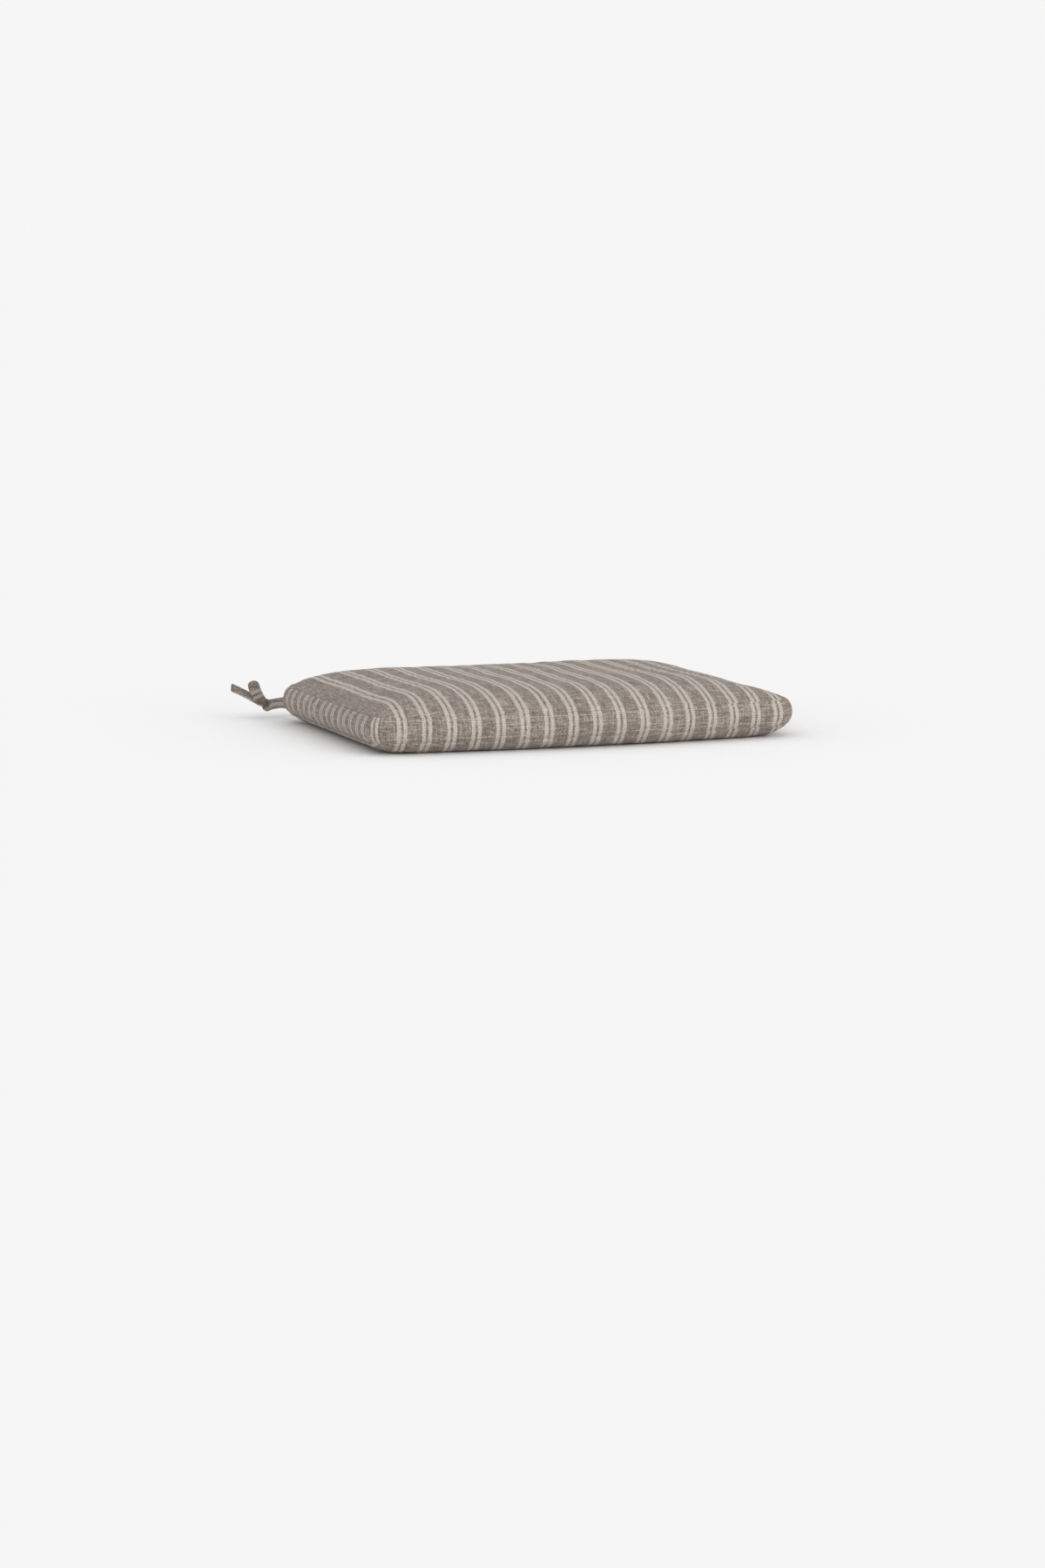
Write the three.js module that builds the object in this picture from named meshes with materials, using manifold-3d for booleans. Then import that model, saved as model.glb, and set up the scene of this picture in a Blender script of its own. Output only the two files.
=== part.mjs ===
// A boxed seat pad for a dining chair: foam core and fibre wadding in a zipped cover of
// striped cloth, with a pair of ties at each back corner.
// Millimetres, +Z up, front edge towards -Y. The origin lies on the resting plane, below the
// middle of the cushion.
import * as THREE from "three";
import { ParametricGeometry } from "three/addons/geometries/ParametricGeometry.js";
import { mergeVertices } from "three/addons/utils/BufferGeometryUtils.js";
import Module from "manifold-3d";

// Cushion outline, measured along the seams
const SEAM_WIDTH = 464;
const SEAM_DEPTH = 380;
const CORNER_RADIUS = 28;
const FRONT_BOW = 15; // how far the middle of the front edge stands ahead of its ends

// Cushion section
const BOTTOM_SEAM_HEIGHT = 12;
const BOXING_HEIGHT = 28;
const BOXING_SWELL = 6; // how far the boxing bulges past its seams
const CROWN_RISE = 22; // top of the crown above the top seam
const SHOULDER_POWER = 6.5; // higher is a flatter top with a tighter shoulder
const REST_SHARE = 0.88; // share of the outline that lies flat on the seat

// Layers
const CLOTH = 1;
const WADDING = 8;
const WADDING_SHARE = 0.985;
const FOAM_SHARE = 0.97;
const GAP = 0.3; // between pieces that touch

// Zip, along the straight part of the back boxing
const ZIP_OPENING = 8; // between the edges of the two back strips
const TAPE_MARGIN = 2; // from a tape's edge to the seam, most of the tape being behind its strip
const TAPE_THICKNESS = 0.6;
const TAPE_GAP = 0.6; // between a tape and the strip in front of it
const COIL_HEIGHT = 2.2;
const COIL_THICKNESS = 2;
const COIL_PART = 1; // open line between the two coils
const STOP_LENGTH = 3;
const SLIDER_LENGTH = 11;
const SLIDER_WIDTH = 7.6;
const SLIDER_PLATE = 1;
const SLIDER_NECK = 0.4;
const BAIL_WIDTH = 1.6;
const BAIL_WALL = 0.8;
const PULL_LENGTH = 20;
const PULL_WIDTH = 6;
const PULL_THICKNESS = 1;
const PULL_BAR = 1.2;
const PULL_RAIL = 1.3; // each side of the slot that the bail passes through
const PULL_SLOT = 4.4;
const SWING_ROOM = 0.4; // round the pull's bar inside the bail

// Topstitching on the front boxing
const STITCH_BELOW_TOP_SEAM = 4;
const STITCH_ABOVE_BOTTOM_SEAM = 5;
const THREAD = 0.8;

// Ties
const TIE_WIDTH = 13;
const CUPPED_SHARE = 0.85; // width of a strap that curls along its length
const GATHERED_SHARE = 0.47; // width of a tail where it leaves the knot
const TAIL_SPREAD = 1.3; // gain in share over the whole length of a tail
const TIE_THICKNESS = 1.8;
const TIE_STEP = 9; // length of one straight stretch
const KNOT_RADII = [4.5, 5.5, 6.5];

// Steps along the seam line
const CORNER_STEPS = 6;
const SIDE_STEPS = 4;
const FRONT_STEPS = 12;
const BACK_STEPS = 8;

const TOP_SEAM_HEIGHT = BOTTOM_SEAM_HEIGHT + BOXING_HEIGHT;
const MID_HEIGHT = (BOTTOM_SEAM_HEIGHT + TOP_SEAM_HEIGHT) / 2;
const TAPE_HEIGHT = BOXING_HEIGHT / 2 - TAPE_MARGIN;
const SEAM_STEP = CLOTH + GAP / 2; // from a seam line to the far face of a panel's edge
const BACK_Y = SEAM_DEPTH / 2;

// Zip places: distances out from the back seam line
const COIL_FACE = BOXING_SWELL - CLOTH + COIL_THICKNESS;
const PLATE_FACE = COIL_FACE + GAP + SLIDER_PLATE;
const BAR_HALF_DIAGONAL = Math.hypot(PULL_THICKNESS, PULL_BAR) / 2;
const HINGE_OUT = PLATE_FACE + BAR_HALF_DIAGONAL + GAP;
const BAIL_TOP = HINGE_OUT + BAR_HALF_DIAGONAL + GAP + BAIL_WALL;
const ZIP_END = SEAM_WIDTH / 2 - CORNER_RADIUS;
const SLIDER_X = ZIP_END - STOP_LENGTH - GAP - SLIDER_LENGTH / 2;

const wasm = await Module();
wasm.setup();

// The cushion is set forward so that the zip's bail and the front edge stand equally far out.
const seatPad = new THREE.Group();
const cushion = new THREE.Group();
cushion.position.y = (BOXING_SWELL - BAIL_TOP) / 2;
seatPad.add(cushion);

function material(color, roughness, metalness = 0) {
  return new THREE.MeshStandardMaterial({ color, roughness, metalness });
}

const ticking = material(0x8f8276, 0.95);
const webbing = material(0x857a6c, 0.95);
const foam = material(0xe9dfb8, 0.9);
const fibre = material(0xf4f3ee, 1);
const tape = material(0x8c8174, 0.9);
const coil = material(0x7d7468, 0.5);
const zinc = material(0xa9a7a2, 0.35, 0.9);
const thread = material(0xd8cfc0, 0.8);

function piece(name, geometry, look, parent = cushion) {
  const mesh = new THREE.Mesh(geometry, look);
  mesh.name = name;
  parent.add(mesh);
  return mesh;
}

// The seam line seen from above, as points with outward normals: from the middle of the back
// left corner, down the left side, along the bowed front, up the right side and along the back.
function seamLine() {
  const halfWidth = SEAM_WIDTH / 2;
  const halfDepth = SEAM_DEPTH / 2;
  const cornerX = halfWidth - CORNER_RADIUS;
  const backY = halfDepth - CORNER_RADIUS;
  const bow = (x) => -halfDepth + FRONT_BOW * (x / cornerX) ** 2;
  const frontY = -halfDepth + FRONT_BOW + CORNER_RADIUS;
  const line = [];
  const arc = (x, y, from, to, steps) => {
    for (let i = 0; i < steps; i++) {
      const a = THREE.MathUtils.degToRad(from + ((to - from) * i) / steps);
      const normal = new THREE.Vector2(Math.cos(a), Math.sin(a));
      line.push({ x: x + CORNER_RADIUS * normal.x, y: y + CORNER_RADIUS * normal.y, normal });
    }
  };
  const run = (steps, at) => {
    for (let i = 0; i < steps; i++) line.push(at(i / steps));
  };
  const half = CORNER_STEPS / 2;
  arc(-cornerX, backY, 135, 180, half);
  run(SIDE_STEPS, (t) => ({
    x: -halfWidth,
    y: THREE.MathUtils.lerp(backY, frontY, t),
    normal: new THREE.Vector2(-1, 0),
  }));
  arc(-cornerX, frontY, 180, 270, CORNER_STEPS);
  run(FRONT_STEPS, (t) => {
    const x = THREE.MathUtils.lerp(-cornerX, cornerX, t);
    const slope = (2 * FRONT_BOW * x) / cornerX ** 2;
    return { x, y: bow(x), normal: new THREE.Vector2(slope, -1).normalize() };
  });
  arc(cornerX, frontY, 270, 360, CORNER_STEPS);
  run(SIDE_STEPS, (t) => ({
    x: halfWidth,
    y: THREE.MathUtils.lerp(frontY, backY, t),
    normal: new THREE.Vector2(1, 0),
  }));
  arc(cornerX, backY, 0, 90, CORNER_STEPS);
  run(BACK_STEPS, (t) => ({
    x: THREE.MathUtils.lerp(cornerX, -cornerX, t),
    y: halfDepth,
    normal: new THREE.Vector2(0, 1),
  }));
  arc(-cornerX, backY, 90, 135, half);
  return line;
}

const SEAM = seamLine();
const LEFT_SEAM = 0;
const FRONT_SEAM = SIDE_STEPS + CORNER_STEPS;
const RIGHT_SEAM = FRONT_SEAM + FRONT_STEPS + CORNER_STEPS;
const BACK_SEAM = RIGHT_SEAM + SIDE_STEPS + CORNER_STEPS;

// Heights of the cover over a share of the outline, from 0 at the middle to 1 at the seam
function crownHeight(share) {
  const seam = TOP_SEAM_HEIGHT + SEAM_STEP;
  return seam + (CROWN_RISE - SEAM_STEP) * (1 - share ** SHOULDER_POWER);
}

function baseHeight(share) {
  const seam = BOTTOM_SEAM_HEIGHT - SEAM_STEP;
  return seam * (Math.max(0, share - REST_SHARE) / (1 - REST_SHARE)) ** 2;
}

// Where the faces of the layers bend, as shares of the outline
const DOME_SHARES = [0, 0.5, 0.72, 0.85, 0.93, FOAM_SHARE, WADDING_SHARE, 1];
const BASE_SHARES = [0, REST_SHARE, 0.93, FOAM_SHARE, WADDING_SHARE, 1];

// A closed layer over a share of the outline. Each face has its bends and its height at one.
function layer(outermost, upper, lower) {
  const face = ({ shares, height }) =>
    shares.filter((share) => share <= outermost).map((share) => [share, height(share)]);
  const section = [...face(lower), ...face(upper).reverse()];
  return new ParametricGeometry(
    (u, v, target) => {
      const rim = SEAM[Math.round(u * SEAM.length) % SEAM.length];
      const [share, height] = section[Math.round(v * (section.length - 1))];
      target.set(rim.x * share, rim.y * share, height);
    },
    SEAM.length,
    section.length - 1,
  );
}

// A closed strip along the seam line between two of its points, as thick as given. At each step
// it runs up from low(step) to high(step); proud(z) is how far its outer face stands past the
// seam line at a height z. Its ends stop short of the corner seams.
function strip(from, to, rows, thickness, proud, low, high) {
  const steps = to - from;
  const geometry = new THREE.BoxGeometry(1, 1, 1, steps, 1, rows);
  const position = geometry.getAttribute("position");
  for (let i = 0; i < position.count; i++) {
    const step = Math.round((0.5 - position.getX(i)) * steps);
    const { x, y, normal } = SEAM[(from + step) % SEAM.length];
    const z = THREE.MathUtils.lerp(low(step), high(step), position.getZ(i) + 0.5);
    const outward = proud(z) + (position.getY(i) - 0.5) * thickness;
    const along = step === 0 ? GAP / 2 : step === steps ? -GAP / 2 : 0;
    position.setXYZ(
      i,
      x + normal.x * outward - normal.y * along,
      y + normal.y * outward + normal.x * along,
      z,
    );
  }
  return geometry;
}

// How far the boxing bulges past the seam line at a height
function swell(z) {
  const fromMiddle = (z - MID_HEIGHT) / (BOXING_HEIGHT / 2);
  return BOXING_SWELL * (1 - fromMiddle ** 2);
}

// A slab cut from a flat shape. The shape's x and y lie along the given directions.
function slab(shape, depth, alongX, alongY) {
  const geometry = new THREE.ExtrudeGeometry(shape, { depth, bevelEnabled: false });
  geometry.translate(0, 0, -depth / 2);
  const across = alongX.clone().cross(alongY);
  return geometry.applyMatrix4(new THREE.Matrix4().makeBasis(alongX, alongY, across));
}

function solid(geometry) {
  const bare = geometry.index ? geometry.toNonIndexed() : geometry.clone();
  bare.deleteAttribute("normal");
  bare.deleteAttribute("uv");
  const merged = mergeVertices(bare, 1e-4);
  return new wasm.Manifold(
    new wasm.Mesh({
      numProp: 3,
      vertProperties: merged.getAttribute("position").array,
      triVerts: new Uint32Array(merged.index.array),
    }),
  );
}

function joined(first, second) {
  const mesh = solid(first).add(solid(second)).getMesh();
  const geometry = new THREE.BufferGeometry();
  geometry.setAttribute("position", new THREE.BufferAttribute(mesh.vertProperties, 3));
  geometry.setIndex(new THREE.BufferAttribute(mesh.triVerts, 1));
  geometry.computeVertexNormals();
  return geometry;
}

function filling() {
  const clothTop = (share) => crownHeight(share) - CLOTH - GAP;
  const clothBase = (share) => baseHeight(share) + CLOTH + GAP;
  const dome = (drop) => ({ shares: DOME_SHARES, height: (s) => clothTop(s) - drop });
  const base = (rise) => ({ shares: BASE_SHARES, height: (s) => clothBase(s) + rise });
  const inner = WADDING + GAP;
  piece("foam_core", layer(FOAM_SHARE, dome(inner), base(inner)), foam);
  piece("wadding_top", layer(WADDING_SHARE, dome(0), dome(WADDING)), fibre);
  piece("wadding_bottom", layer(WADDING_SHARE, base(WADDING), base(0)), fibre);
}

function panels() {
  const dome = (drop) => ({ shares: DOME_SHARES, height: (s) => crownHeight(s) - drop });
  const base = (rise) => ({ shares: BASE_SHARES, height: (s) => baseHeight(s) + rise });
  piece("top_panel", layer(1, dome(0), dome(CLOTH)), ticking);
  piece("bottom_panel", layer(1, base(CLOTH), base(0)), ticking);
}

const boxingLow = () => BOTTOM_SEAM_HEIGHT + GAP / 2;
const boxingHigh = () => TOP_SEAM_HEIGHT - GAP / 2;

function sideBoxings() {
  const rows = 4;
  const whole = (from, to) => strip(from, to, rows, CLOTH, swell, boxingLow, boxingHigh);
  piece("left_boxing", whole(LEFT_SEAM, FRONT_SEAM), ticking);
  piece("front_boxing", whole(FRONT_SEAM, RIGHT_SEAM), ticking);
  piece("right_boxing", whole(RIGHT_SEAM, BACK_SEAM), ticking);
}

function topstitching() {
  const row = (z) => {
    const low = () => z - THREAD / 2;
    const high = () => z + THREAD / 2;
    const proud = (height) => swell(height) + GAP + THREAD;
    return strip(FRONT_SEAM, RIGHT_SEAM, 1, THREAD, proud, low, high);
  };
  piece("topstitch_upper", row(TOP_SEAM_HEIGHT - STITCH_BELOW_TOP_SEAM), thread);
  piece("topstitch_lower", row(BOTTOM_SEAM_HEIGHT + STITCH_ABOVE_BOTTOM_SEAM), thread);
}

// Two strips that part along the zip and meet past its ends
function backBoxings() {
  const rows = 3;
  const zipStart = CORNER_STEPS / 2;
  const alongZip = (step) => step >= zipStart && step <= zipStart + BACK_STEPS;
  const parting = (step) => (alongZip(step) ? ZIP_OPENING : GAP) / 2;
  const upperLow = (step) => MID_HEIGHT + parting(step);
  const lowerHigh = (step) => MID_HEIGHT - parting(step);
  const back = (low, high) => strip(BACK_SEAM, SEAM.length, rows, CLOTH, swell, low, high);
  piece("back_boxing_upper", back(upperLow, boxingHigh), ticking);
  piece("back_boxing_lower", back(boxingLow, lowerHigh), ticking);
}

function zipTapes() {
  const rows = 3;
  const from = BACK_SEAM + CORNER_STEPS / 2 - 1;
  const to = from + BACK_STEPS + 2;
  const proud = (z) => swell(z) - CLOTH - TAPE_GAP;
  const near = COIL_PART / 2;
  const half = (a, b) => {
    const low = () => MID_HEIGHT + Math.min(a, b);
    const high = () => MID_HEIGHT + Math.max(a, b);
    return strip(from, to, rows, TAPE_THICKNESS, proud, low, high);
  };
  piece("zip_tape_upper", half(near, TAPE_HEIGHT), tape);
  piece("zip_tape_lower", half(-near, -TAPE_HEIGHT), tape);
}

function zipCoils() {
  const length = 2 * (ZIP_END - STOP_LENGTH - GAP);
  const out = BACK_Y + COIL_FACE - COIL_THICKNESS / 2;
  const up = (COIL_PART + COIL_HEIGHT) / 2;
  const row = new THREE.BoxGeometry(length, COIL_THICKNESS, COIL_HEIGHT);
  piece("zip_coil_upper", row, coil).position.set(0, out, MID_HEIGHT + up);
  piece("zip_coil_lower", row, coil).position.set(0, out, MID_HEIGHT - up);
  const height = 2 * COIL_HEIGHT + COIL_PART;
  const stop = new THREE.BoxGeometry(STOP_LENGTH, COIL_THICKNESS, height);
  const stopX = ZIP_END - STOP_LENGTH / 2;
  piece("zip_stop_left", stop, zinc).position.set(-stopX, out, MID_HEIGHT);
  piece("zip_stop_right", stop, zinc).position.set(stopX, out, MID_HEIGHT);
}

const X = new THREE.Vector3(1, 0, 0);
const Y = new THREE.Vector3(0, 1, 0);
const Z = new THREE.Vector3(0, 0, 1);

function outline(points) {
  return new THREE.Shape(points.map(([x, y]) => new THREE.Vector2(x, y)));
}

// Two plates either side of the tapes, with a neck that runs between the coils, and a bail
// that holds the pull.
function zipSlider() {
  const half = SLIDER_WIDTH / 2;
  const neck = SLIDER_NECK / 2;
  const plateBack = PLATE_FACE - SLIDER_PLATE;
  const innerFace = swell(MID_HEIGHT + half) - CLOTH - TAPE_GAP - TAPE_THICKNESS - GAP;
  const innerBack = innerFace - SLIDER_PLATE;
  const section = outline([
    [innerBack, -half],
    [innerFace, -half],
    [innerFace, -neck],
    [plateBack, -neck],
    [plateBack, -half],
    [PLATE_FACE, -half],
    [PLATE_FACE, half],
    [plateBack, half],
    [plateBack, neck],
    [innerFace, neck],
    [innerFace, half],
    [innerBack, half],
  ]);
  const inside = BAR_HALF_DIAGONAL + SWING_ROOM;
  const outside = inside + BAIL_WALL;
  const foot = PLATE_FACE - SLIDER_PLATE / 2;
  const bail = outline([
    [-outside, foot],
    [-inside, foot],
    [-inside, BAIL_TOP - BAIL_WALL],
    [inside, BAIL_TOP - BAIL_WALL],
    [inside, foot],
    [outside, foot],
    [outside, BAIL_TOP],
    [-outside, BAIL_TOP],
  ]);
  const body = joined(slab(section, SLIDER_LENGTH, Y, Z), slab(bail, BAIL_WIDTH, X, Y));
  piece("zip_slider", body, zinc).position.set(SLIDER_X, BACK_Y, MID_HEIGHT);
}

// A flat tab with a slot for the bail. Its bar turns inside the bail.
function zipPull() {
  const half = PULL_WIDTH / 2;
  const bar = PULL_BAR / 2;
  const roundX = bar - PULL_LENGTH + half;
  const tab = new THREE.Shape();
  tab.moveTo(bar, half);
  tab.lineTo(roundX, half);
  tab.absarc(roundX, 0, half, Math.PI / 2, (3 * Math.PI) / 2, false);
  tab.lineTo(bar, -half);
  tab.closePath();
  const slot = half - PULL_RAIL;
  tab.holes.push(
    outline([
      [-bar, slot],
      [-bar, -slot],
      [-bar - PULL_SLOT, -slot],
      [-bar - PULL_SLOT, slot],
    ]),
  );
  const hinge = [SLIDER_X, BACK_Y + HINGE_OUT, MID_HEIGHT];
  piece("zip_pull", slab(tab, PULL_THICKNESS, X, Z), zinc).position.set(...hinge);
}

// A flat strap along a route, narrower where it is gathered into a knot. wide points across
// the strap; gathered(t) is the share of its full width at t.
function strap(pair, name, route, wide, gathered) {
  const curve = new THREE.CatmullRomCurve3(route.map((point) => new THREE.Vector3(...point)));
  const steps = Math.round(curve.getLength() / TIE_STEP);
  const geometry = new THREE.BoxGeometry(1, 1, 1, steps, 1, 1);
  const position = geometry.getAttribute("position");
  for (let i = 0; i < position.count; i++) {
    const t = position.getX(i) + 0.5;
    const along = curve.getTangentAt(t);
    const across = wide.clone().addScaledVector(along, -wide.dot(along)).normalize();
    const through = across.clone().cross(along);
    const point = curve.getPointAt(t);
    point.addScaledVector(through, position.getY(i) * TIE_THICKNESS);
    point.addScaledVector(across, position.getZ(i) * TIE_WIDTH * gathered(t));
    position.setXYZ(i, point.x, point.y, point.z);
  }
  piece(name, geometry, webbing, pair);
}

// Routes of the right pair round a chair post that stands behind the corner, from a point on
// the resting plane below the corner seam. The left pair's straps mirror them; its tails stand
// up, and the right pair's lie down.
const KNOT = [9, 52.6, 13];
const OUTER_ROUTE = [
  [1.8, 1, 19.5],
  [4.8, 16.6, 18.5],
  [7.5, 32.6, 16],
  [8.6, 45.2, 14],
];
const INNER_ROUTE = [
  [-1.8, 4, 19],
  [-16, 20.6, 15.6],
  [-29.5, 33.6, 15.4],
  [-34.4, 53.1, 15.2],
  [-28.5, 66.6, 14.6],
  [-15, 72.6, 13.8],
  [-2, 68.1, 13],
  [5.4, 60.4, 13],
];
const RAISED_TAILS = {
  wide_tail: {
    route: [
      [18, 48.5, 18.2],
      [22.8, 47, 25.4],
      [26.6, 46, 34.4],
      [28.2, 45.5, 41.9],
    ],
    wide: [-0.87, -0.24, 0.32],
  },
  narrow_tail: {
    route: [
      [17.1, 54.2, 16.2],
      [33.3, 54.6, 25.8],
      [51.1, 53.6, 34.9],
    ],
    wide: [-0.49, 0.75, 0.42],
  },
};
const LOWERED_TAILS = {
  wide_tail: {
    route: [
      [16.4, 55.1, 10],
      [22, 58.6, 5.5],
      [30, 63.6, 2.4],
      [38, 68.6, 1.2],
    ],
    wide: [-0.5, 0.85, 0],
  },
  narrow_tail: {
    route: [
      [15.6, 46.2, 10],
      [24, 40.6, 5],
      [36, 35.6, 2],
      [48, 32.6, 1.2],
    ],
    wide: [0.4, 0.92, 0],
  },
};

function ties(side, sign, tails) {
  const pair = new THREE.Group();
  const toCorner = (CORNER_RADIUS + BOXING_SWELL) * Math.SQRT1_2;
  const x = SEAM_WIDTH / 2 - CORNER_RADIUS + toCorner;
  pair.position.set(sign * x, BACK_Y - CORNER_RADIUS + toCorner, 0);
  cushion.add(pair);
  const flip = ([x, y, z]) => [sign * x, y, z];
  const cupped = () => CUPPED_SHARE;
  const fromKnot = (t) => Math.min(1, GATHERED_SHARE + TAIL_SPREAD * t);
  strap(pair, `tie_${side}_outer`, OUTER_ROUTE.map(flip), Z, cupped);
  strap(pair, `tie_${side}_inner`, INNER_ROUTE.map(flip), Z, cupped);
  for (const [name, tail] of Object.entries(tails)) {
    const wide = new THREE.Vector3(...flip(tail.wide));
    strap(pair, `tie_${side}_${name}`, tail.route.map(flip), wide, fromKnot);
  }
  const knot = new THREE.SphereGeometry(1, 12, 8).scale(...KNOT_RADII);
  piece(`tie_${side}_knot`, knot, webbing, pair).position.set(...flip(KNOT));
}

filling();
panels();
sideBoxings();
topstitching();
backBoxings();
zipTapes();
zipCoils();
zipSlider();
zipPull();
ties("left", -1, RAISED_TAILS);
ties("right", 1, LOWERED_TAILS);

export default seatPad;
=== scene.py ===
import math

import bpy
import numpy as np
from mathutils import Matrix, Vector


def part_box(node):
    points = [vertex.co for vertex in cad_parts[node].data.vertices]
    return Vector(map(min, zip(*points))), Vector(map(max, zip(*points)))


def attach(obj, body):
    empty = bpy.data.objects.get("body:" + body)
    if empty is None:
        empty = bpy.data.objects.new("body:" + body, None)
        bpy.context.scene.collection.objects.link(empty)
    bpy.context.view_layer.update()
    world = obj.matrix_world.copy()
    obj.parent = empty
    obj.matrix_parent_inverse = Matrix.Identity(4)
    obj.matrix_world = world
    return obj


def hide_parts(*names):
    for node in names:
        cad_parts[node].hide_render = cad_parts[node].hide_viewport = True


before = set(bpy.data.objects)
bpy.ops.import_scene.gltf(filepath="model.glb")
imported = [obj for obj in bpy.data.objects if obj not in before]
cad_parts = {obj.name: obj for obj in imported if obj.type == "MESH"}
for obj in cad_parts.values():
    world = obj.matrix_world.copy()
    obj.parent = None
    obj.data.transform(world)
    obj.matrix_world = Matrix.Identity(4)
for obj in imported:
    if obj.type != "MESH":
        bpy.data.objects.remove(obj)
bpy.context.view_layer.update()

# A boxed seat pad in striped cloth. Lengths are in millimetres until a mesh is made.
MM = 0.001

# Cushion outline and section, as the CAD model has them
SEAM_WIDTH = 464
SEAM_DEPTH = 380
CORNER_RADIUS = 28
FRONT_BOW = 15
BOTTOM_SEAM = 12
TOP_SEAM = 40
MID_HEIGHT = (BOTTOM_SEAM + TOP_SEAM) / 2
BOXING_HEIGHT = TOP_SEAM - BOTTOM_SEAM
BOXING_SWELL = 6
CROWN_RISE = 22
SHOULDER_POWER = 6.5
REST_SHARE = 0.88
CLOTH = 1.0
panel_low, panel_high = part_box("top_panel")
SHIFT_Y = (panel_low.y + panel_high.y) / 2 / MM
ZIP_HALF = SEAM_WIDTH / 2 - CORNER_RADIUS
BACK_Y = SEAM_DEPTH / 2 + SHIFT_Y

# Stripes: double cream bands, counted from the left one on the front
STRIPE_PITCH = 26.1
STRIPE_COUNT = 17
FIRST_STRIPE_X = -204.3
BAND_CENTRE = 3.3
BAND_HALF = 1.95
THREAD_PITCH = 1.1


# ---------------------------------------------------------------- camera

def make_camera():
    """At the photograph's viewing angle, with no shift."""
    azimuth, elevation, roll = (math.radians(a) for a in (17.7065, 7.1070, -0.62413))
    forward = np.array([
        math.sin(azimuth) * math.cos(elevation),
        math.cos(azimuth) * math.cos(elevation),
        -math.sin(elevation),
    ])
    level = np.array([math.cos(azimuth), -math.sin(azimuth), 0])
    raised = np.cross(level, forward)
    right = level * math.cos(roll) + raised * math.sin(roll)
    up = raised * math.cos(roll) - level * math.sin(roll)
    data = bpy.data.cameras.new("camera")
    data.sensor_width = 36
    data.lens = 108.903
    data.clip_end = 100
    camera = bpy.data.objects.new("camera", data)
    place = np.eye(4)
    place[:3, :4] = np.column_stack([right, up, -forward, (-1.56736, -4.85996, 0.57709)])
    camera.matrix_world = Matrix(place.tolist())
    bpy.context.scene.collection.objects.link(camera)
    bpy.context.scene.camera = camera


make_camera()


# ---------------------------------------------------------------- materials

class Value:
    """A shader output that is added and multiplied like a number."""

    def __init__(self, shader, socket):
        self.shader, self.socket = shader, socket

    def __add__(self, other):
        return self.shader.math("ADD", self, other)

    def __sub__(self, other):
        return self.shader.math("SUBTRACT", self, other)

    def __mul__(self, other):
        return self.shader.math("MULTIPLY", self, other)

    def __abs__(self):
        return self.shader.math("ABSOLUTE", self)


class Shader:
    """A node material with one Principled shader. Constant inputs are set on its sockets."""

    def __init__(self, name, **constants):
        self.material = bpy.data.materials.new(name)
        self.material.use_nodes = True
        self.tree = self.material.node_tree
        self.surface = self.tree.nodes["Principled BSDF"]
        for label, value in constants.items():
            self.surface.inputs[label.replace("_", " ")].default_value = value

    def put(self, socket, value):
        if isinstance(value, Value):
            self.tree.links.new(value.socket, socket)
        elif isinstance(value, tuple) and socket.type == "RGBA":
            socket.default_value = (*value, 1)
        else:
            socket.default_value = value

    def node(self, kind, output, **inputs):
        """A new node with its inputs set, and one of its outputs."""
        made = self.tree.nodes.new("ShaderNode" + kind)
        for label, value in inputs.items():
            self.put(made.inputs[label], value)
        return made, Value(self, made.outputs[output])

    def math(self, operation, *values):
        made, result = self.node("Math", 0)
        made.operation = operation
        for socket, value in zip(made.inputs, values):
            self.put(socket, value)
        return result

    def sine(self, value, period):
        return self.math("SINE", value * (2 * math.pi / period))

    def vector(self, x, y, z=0.0):
        return self.node("CombineXYZ", 0, X=x, Y=y, Z=z)[1]

    def noise(self, vector, scale=1.0, detail=2.0, roughness=0.5):
        return self.node(
            "TexNoise", 0, Vector=vector, Scale=scale, Detail=detail, Roughness=roughness
        )[1]

    def stretched_noise(self, vector, scales, detail):
        return self.noise(self.node("Mapping", 0, Vector=vector, Scale=scales)[1], detail=detail)

    def step(self, value, low, high):
        made, result = self.node("MapRange", 0, Value=value)
        made.interpolation_type = "SMOOTHSTEP"
        made.inputs["From Min"].default_value = low
        made.inputs["From Max"].default_value = high
        return result

    def ramp(self, value, stops):
        made, result = self.node("ValToRGB", 0, Fac=value)
        elements = made.color_ramp.elements
        while len(elements) < len(stops):
            elements.new(0.5)
        for element, (place, colour) in zip(elements, stops):
            element.position = place
            element.color = (*colour, 1)
        return result

    def mix(self, factor, first, second):
        made, _ = self.node("Mix", 0)
        made.data_type = "RGBA"
        for index, value in ((0, factor), (6, first), (7, second)):
            self.put(made.inputs[index], value)
        return Value(self, made.outputs[2])

    def attribute(self, name):
        made, vector = self.node("Attribute", "Vector")
        made.attribute_name = name
        split, _ = self.node("SeparateXYZ", 0, Vector=vector)
        return [Value(self, output) for output in split.outputs]

    def position(self):
        return self.node("TexCoord", "Object")[1]

    def finish(self, colour, roughness=None, bump=None, strength=1.0):
        self.put(self.surface.inputs["Base Color"], colour)
        if roughness is not None:
            self.put(self.surface.inputs["Roughness"], roughness)
        if bump is not None:
            _, normal = self.node("Bump", "Normal", Height=bump, Strength=strength, Distance=MM)
            self.put(self.surface.inputs["Normal"], normal)
        return self.material


def rgb(red, green, blue, tone=1.0):
    """Linear colour from the 0 to 255 numbers of a screen colour, times a tone."""
    return tuple(
        tone * (c / 12.92 if c <= 0.04045 else ((c + 0.055) / 1.055) ** 2.4)
        for c in (red / 255, green / 255, blue / 255)
    )


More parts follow.
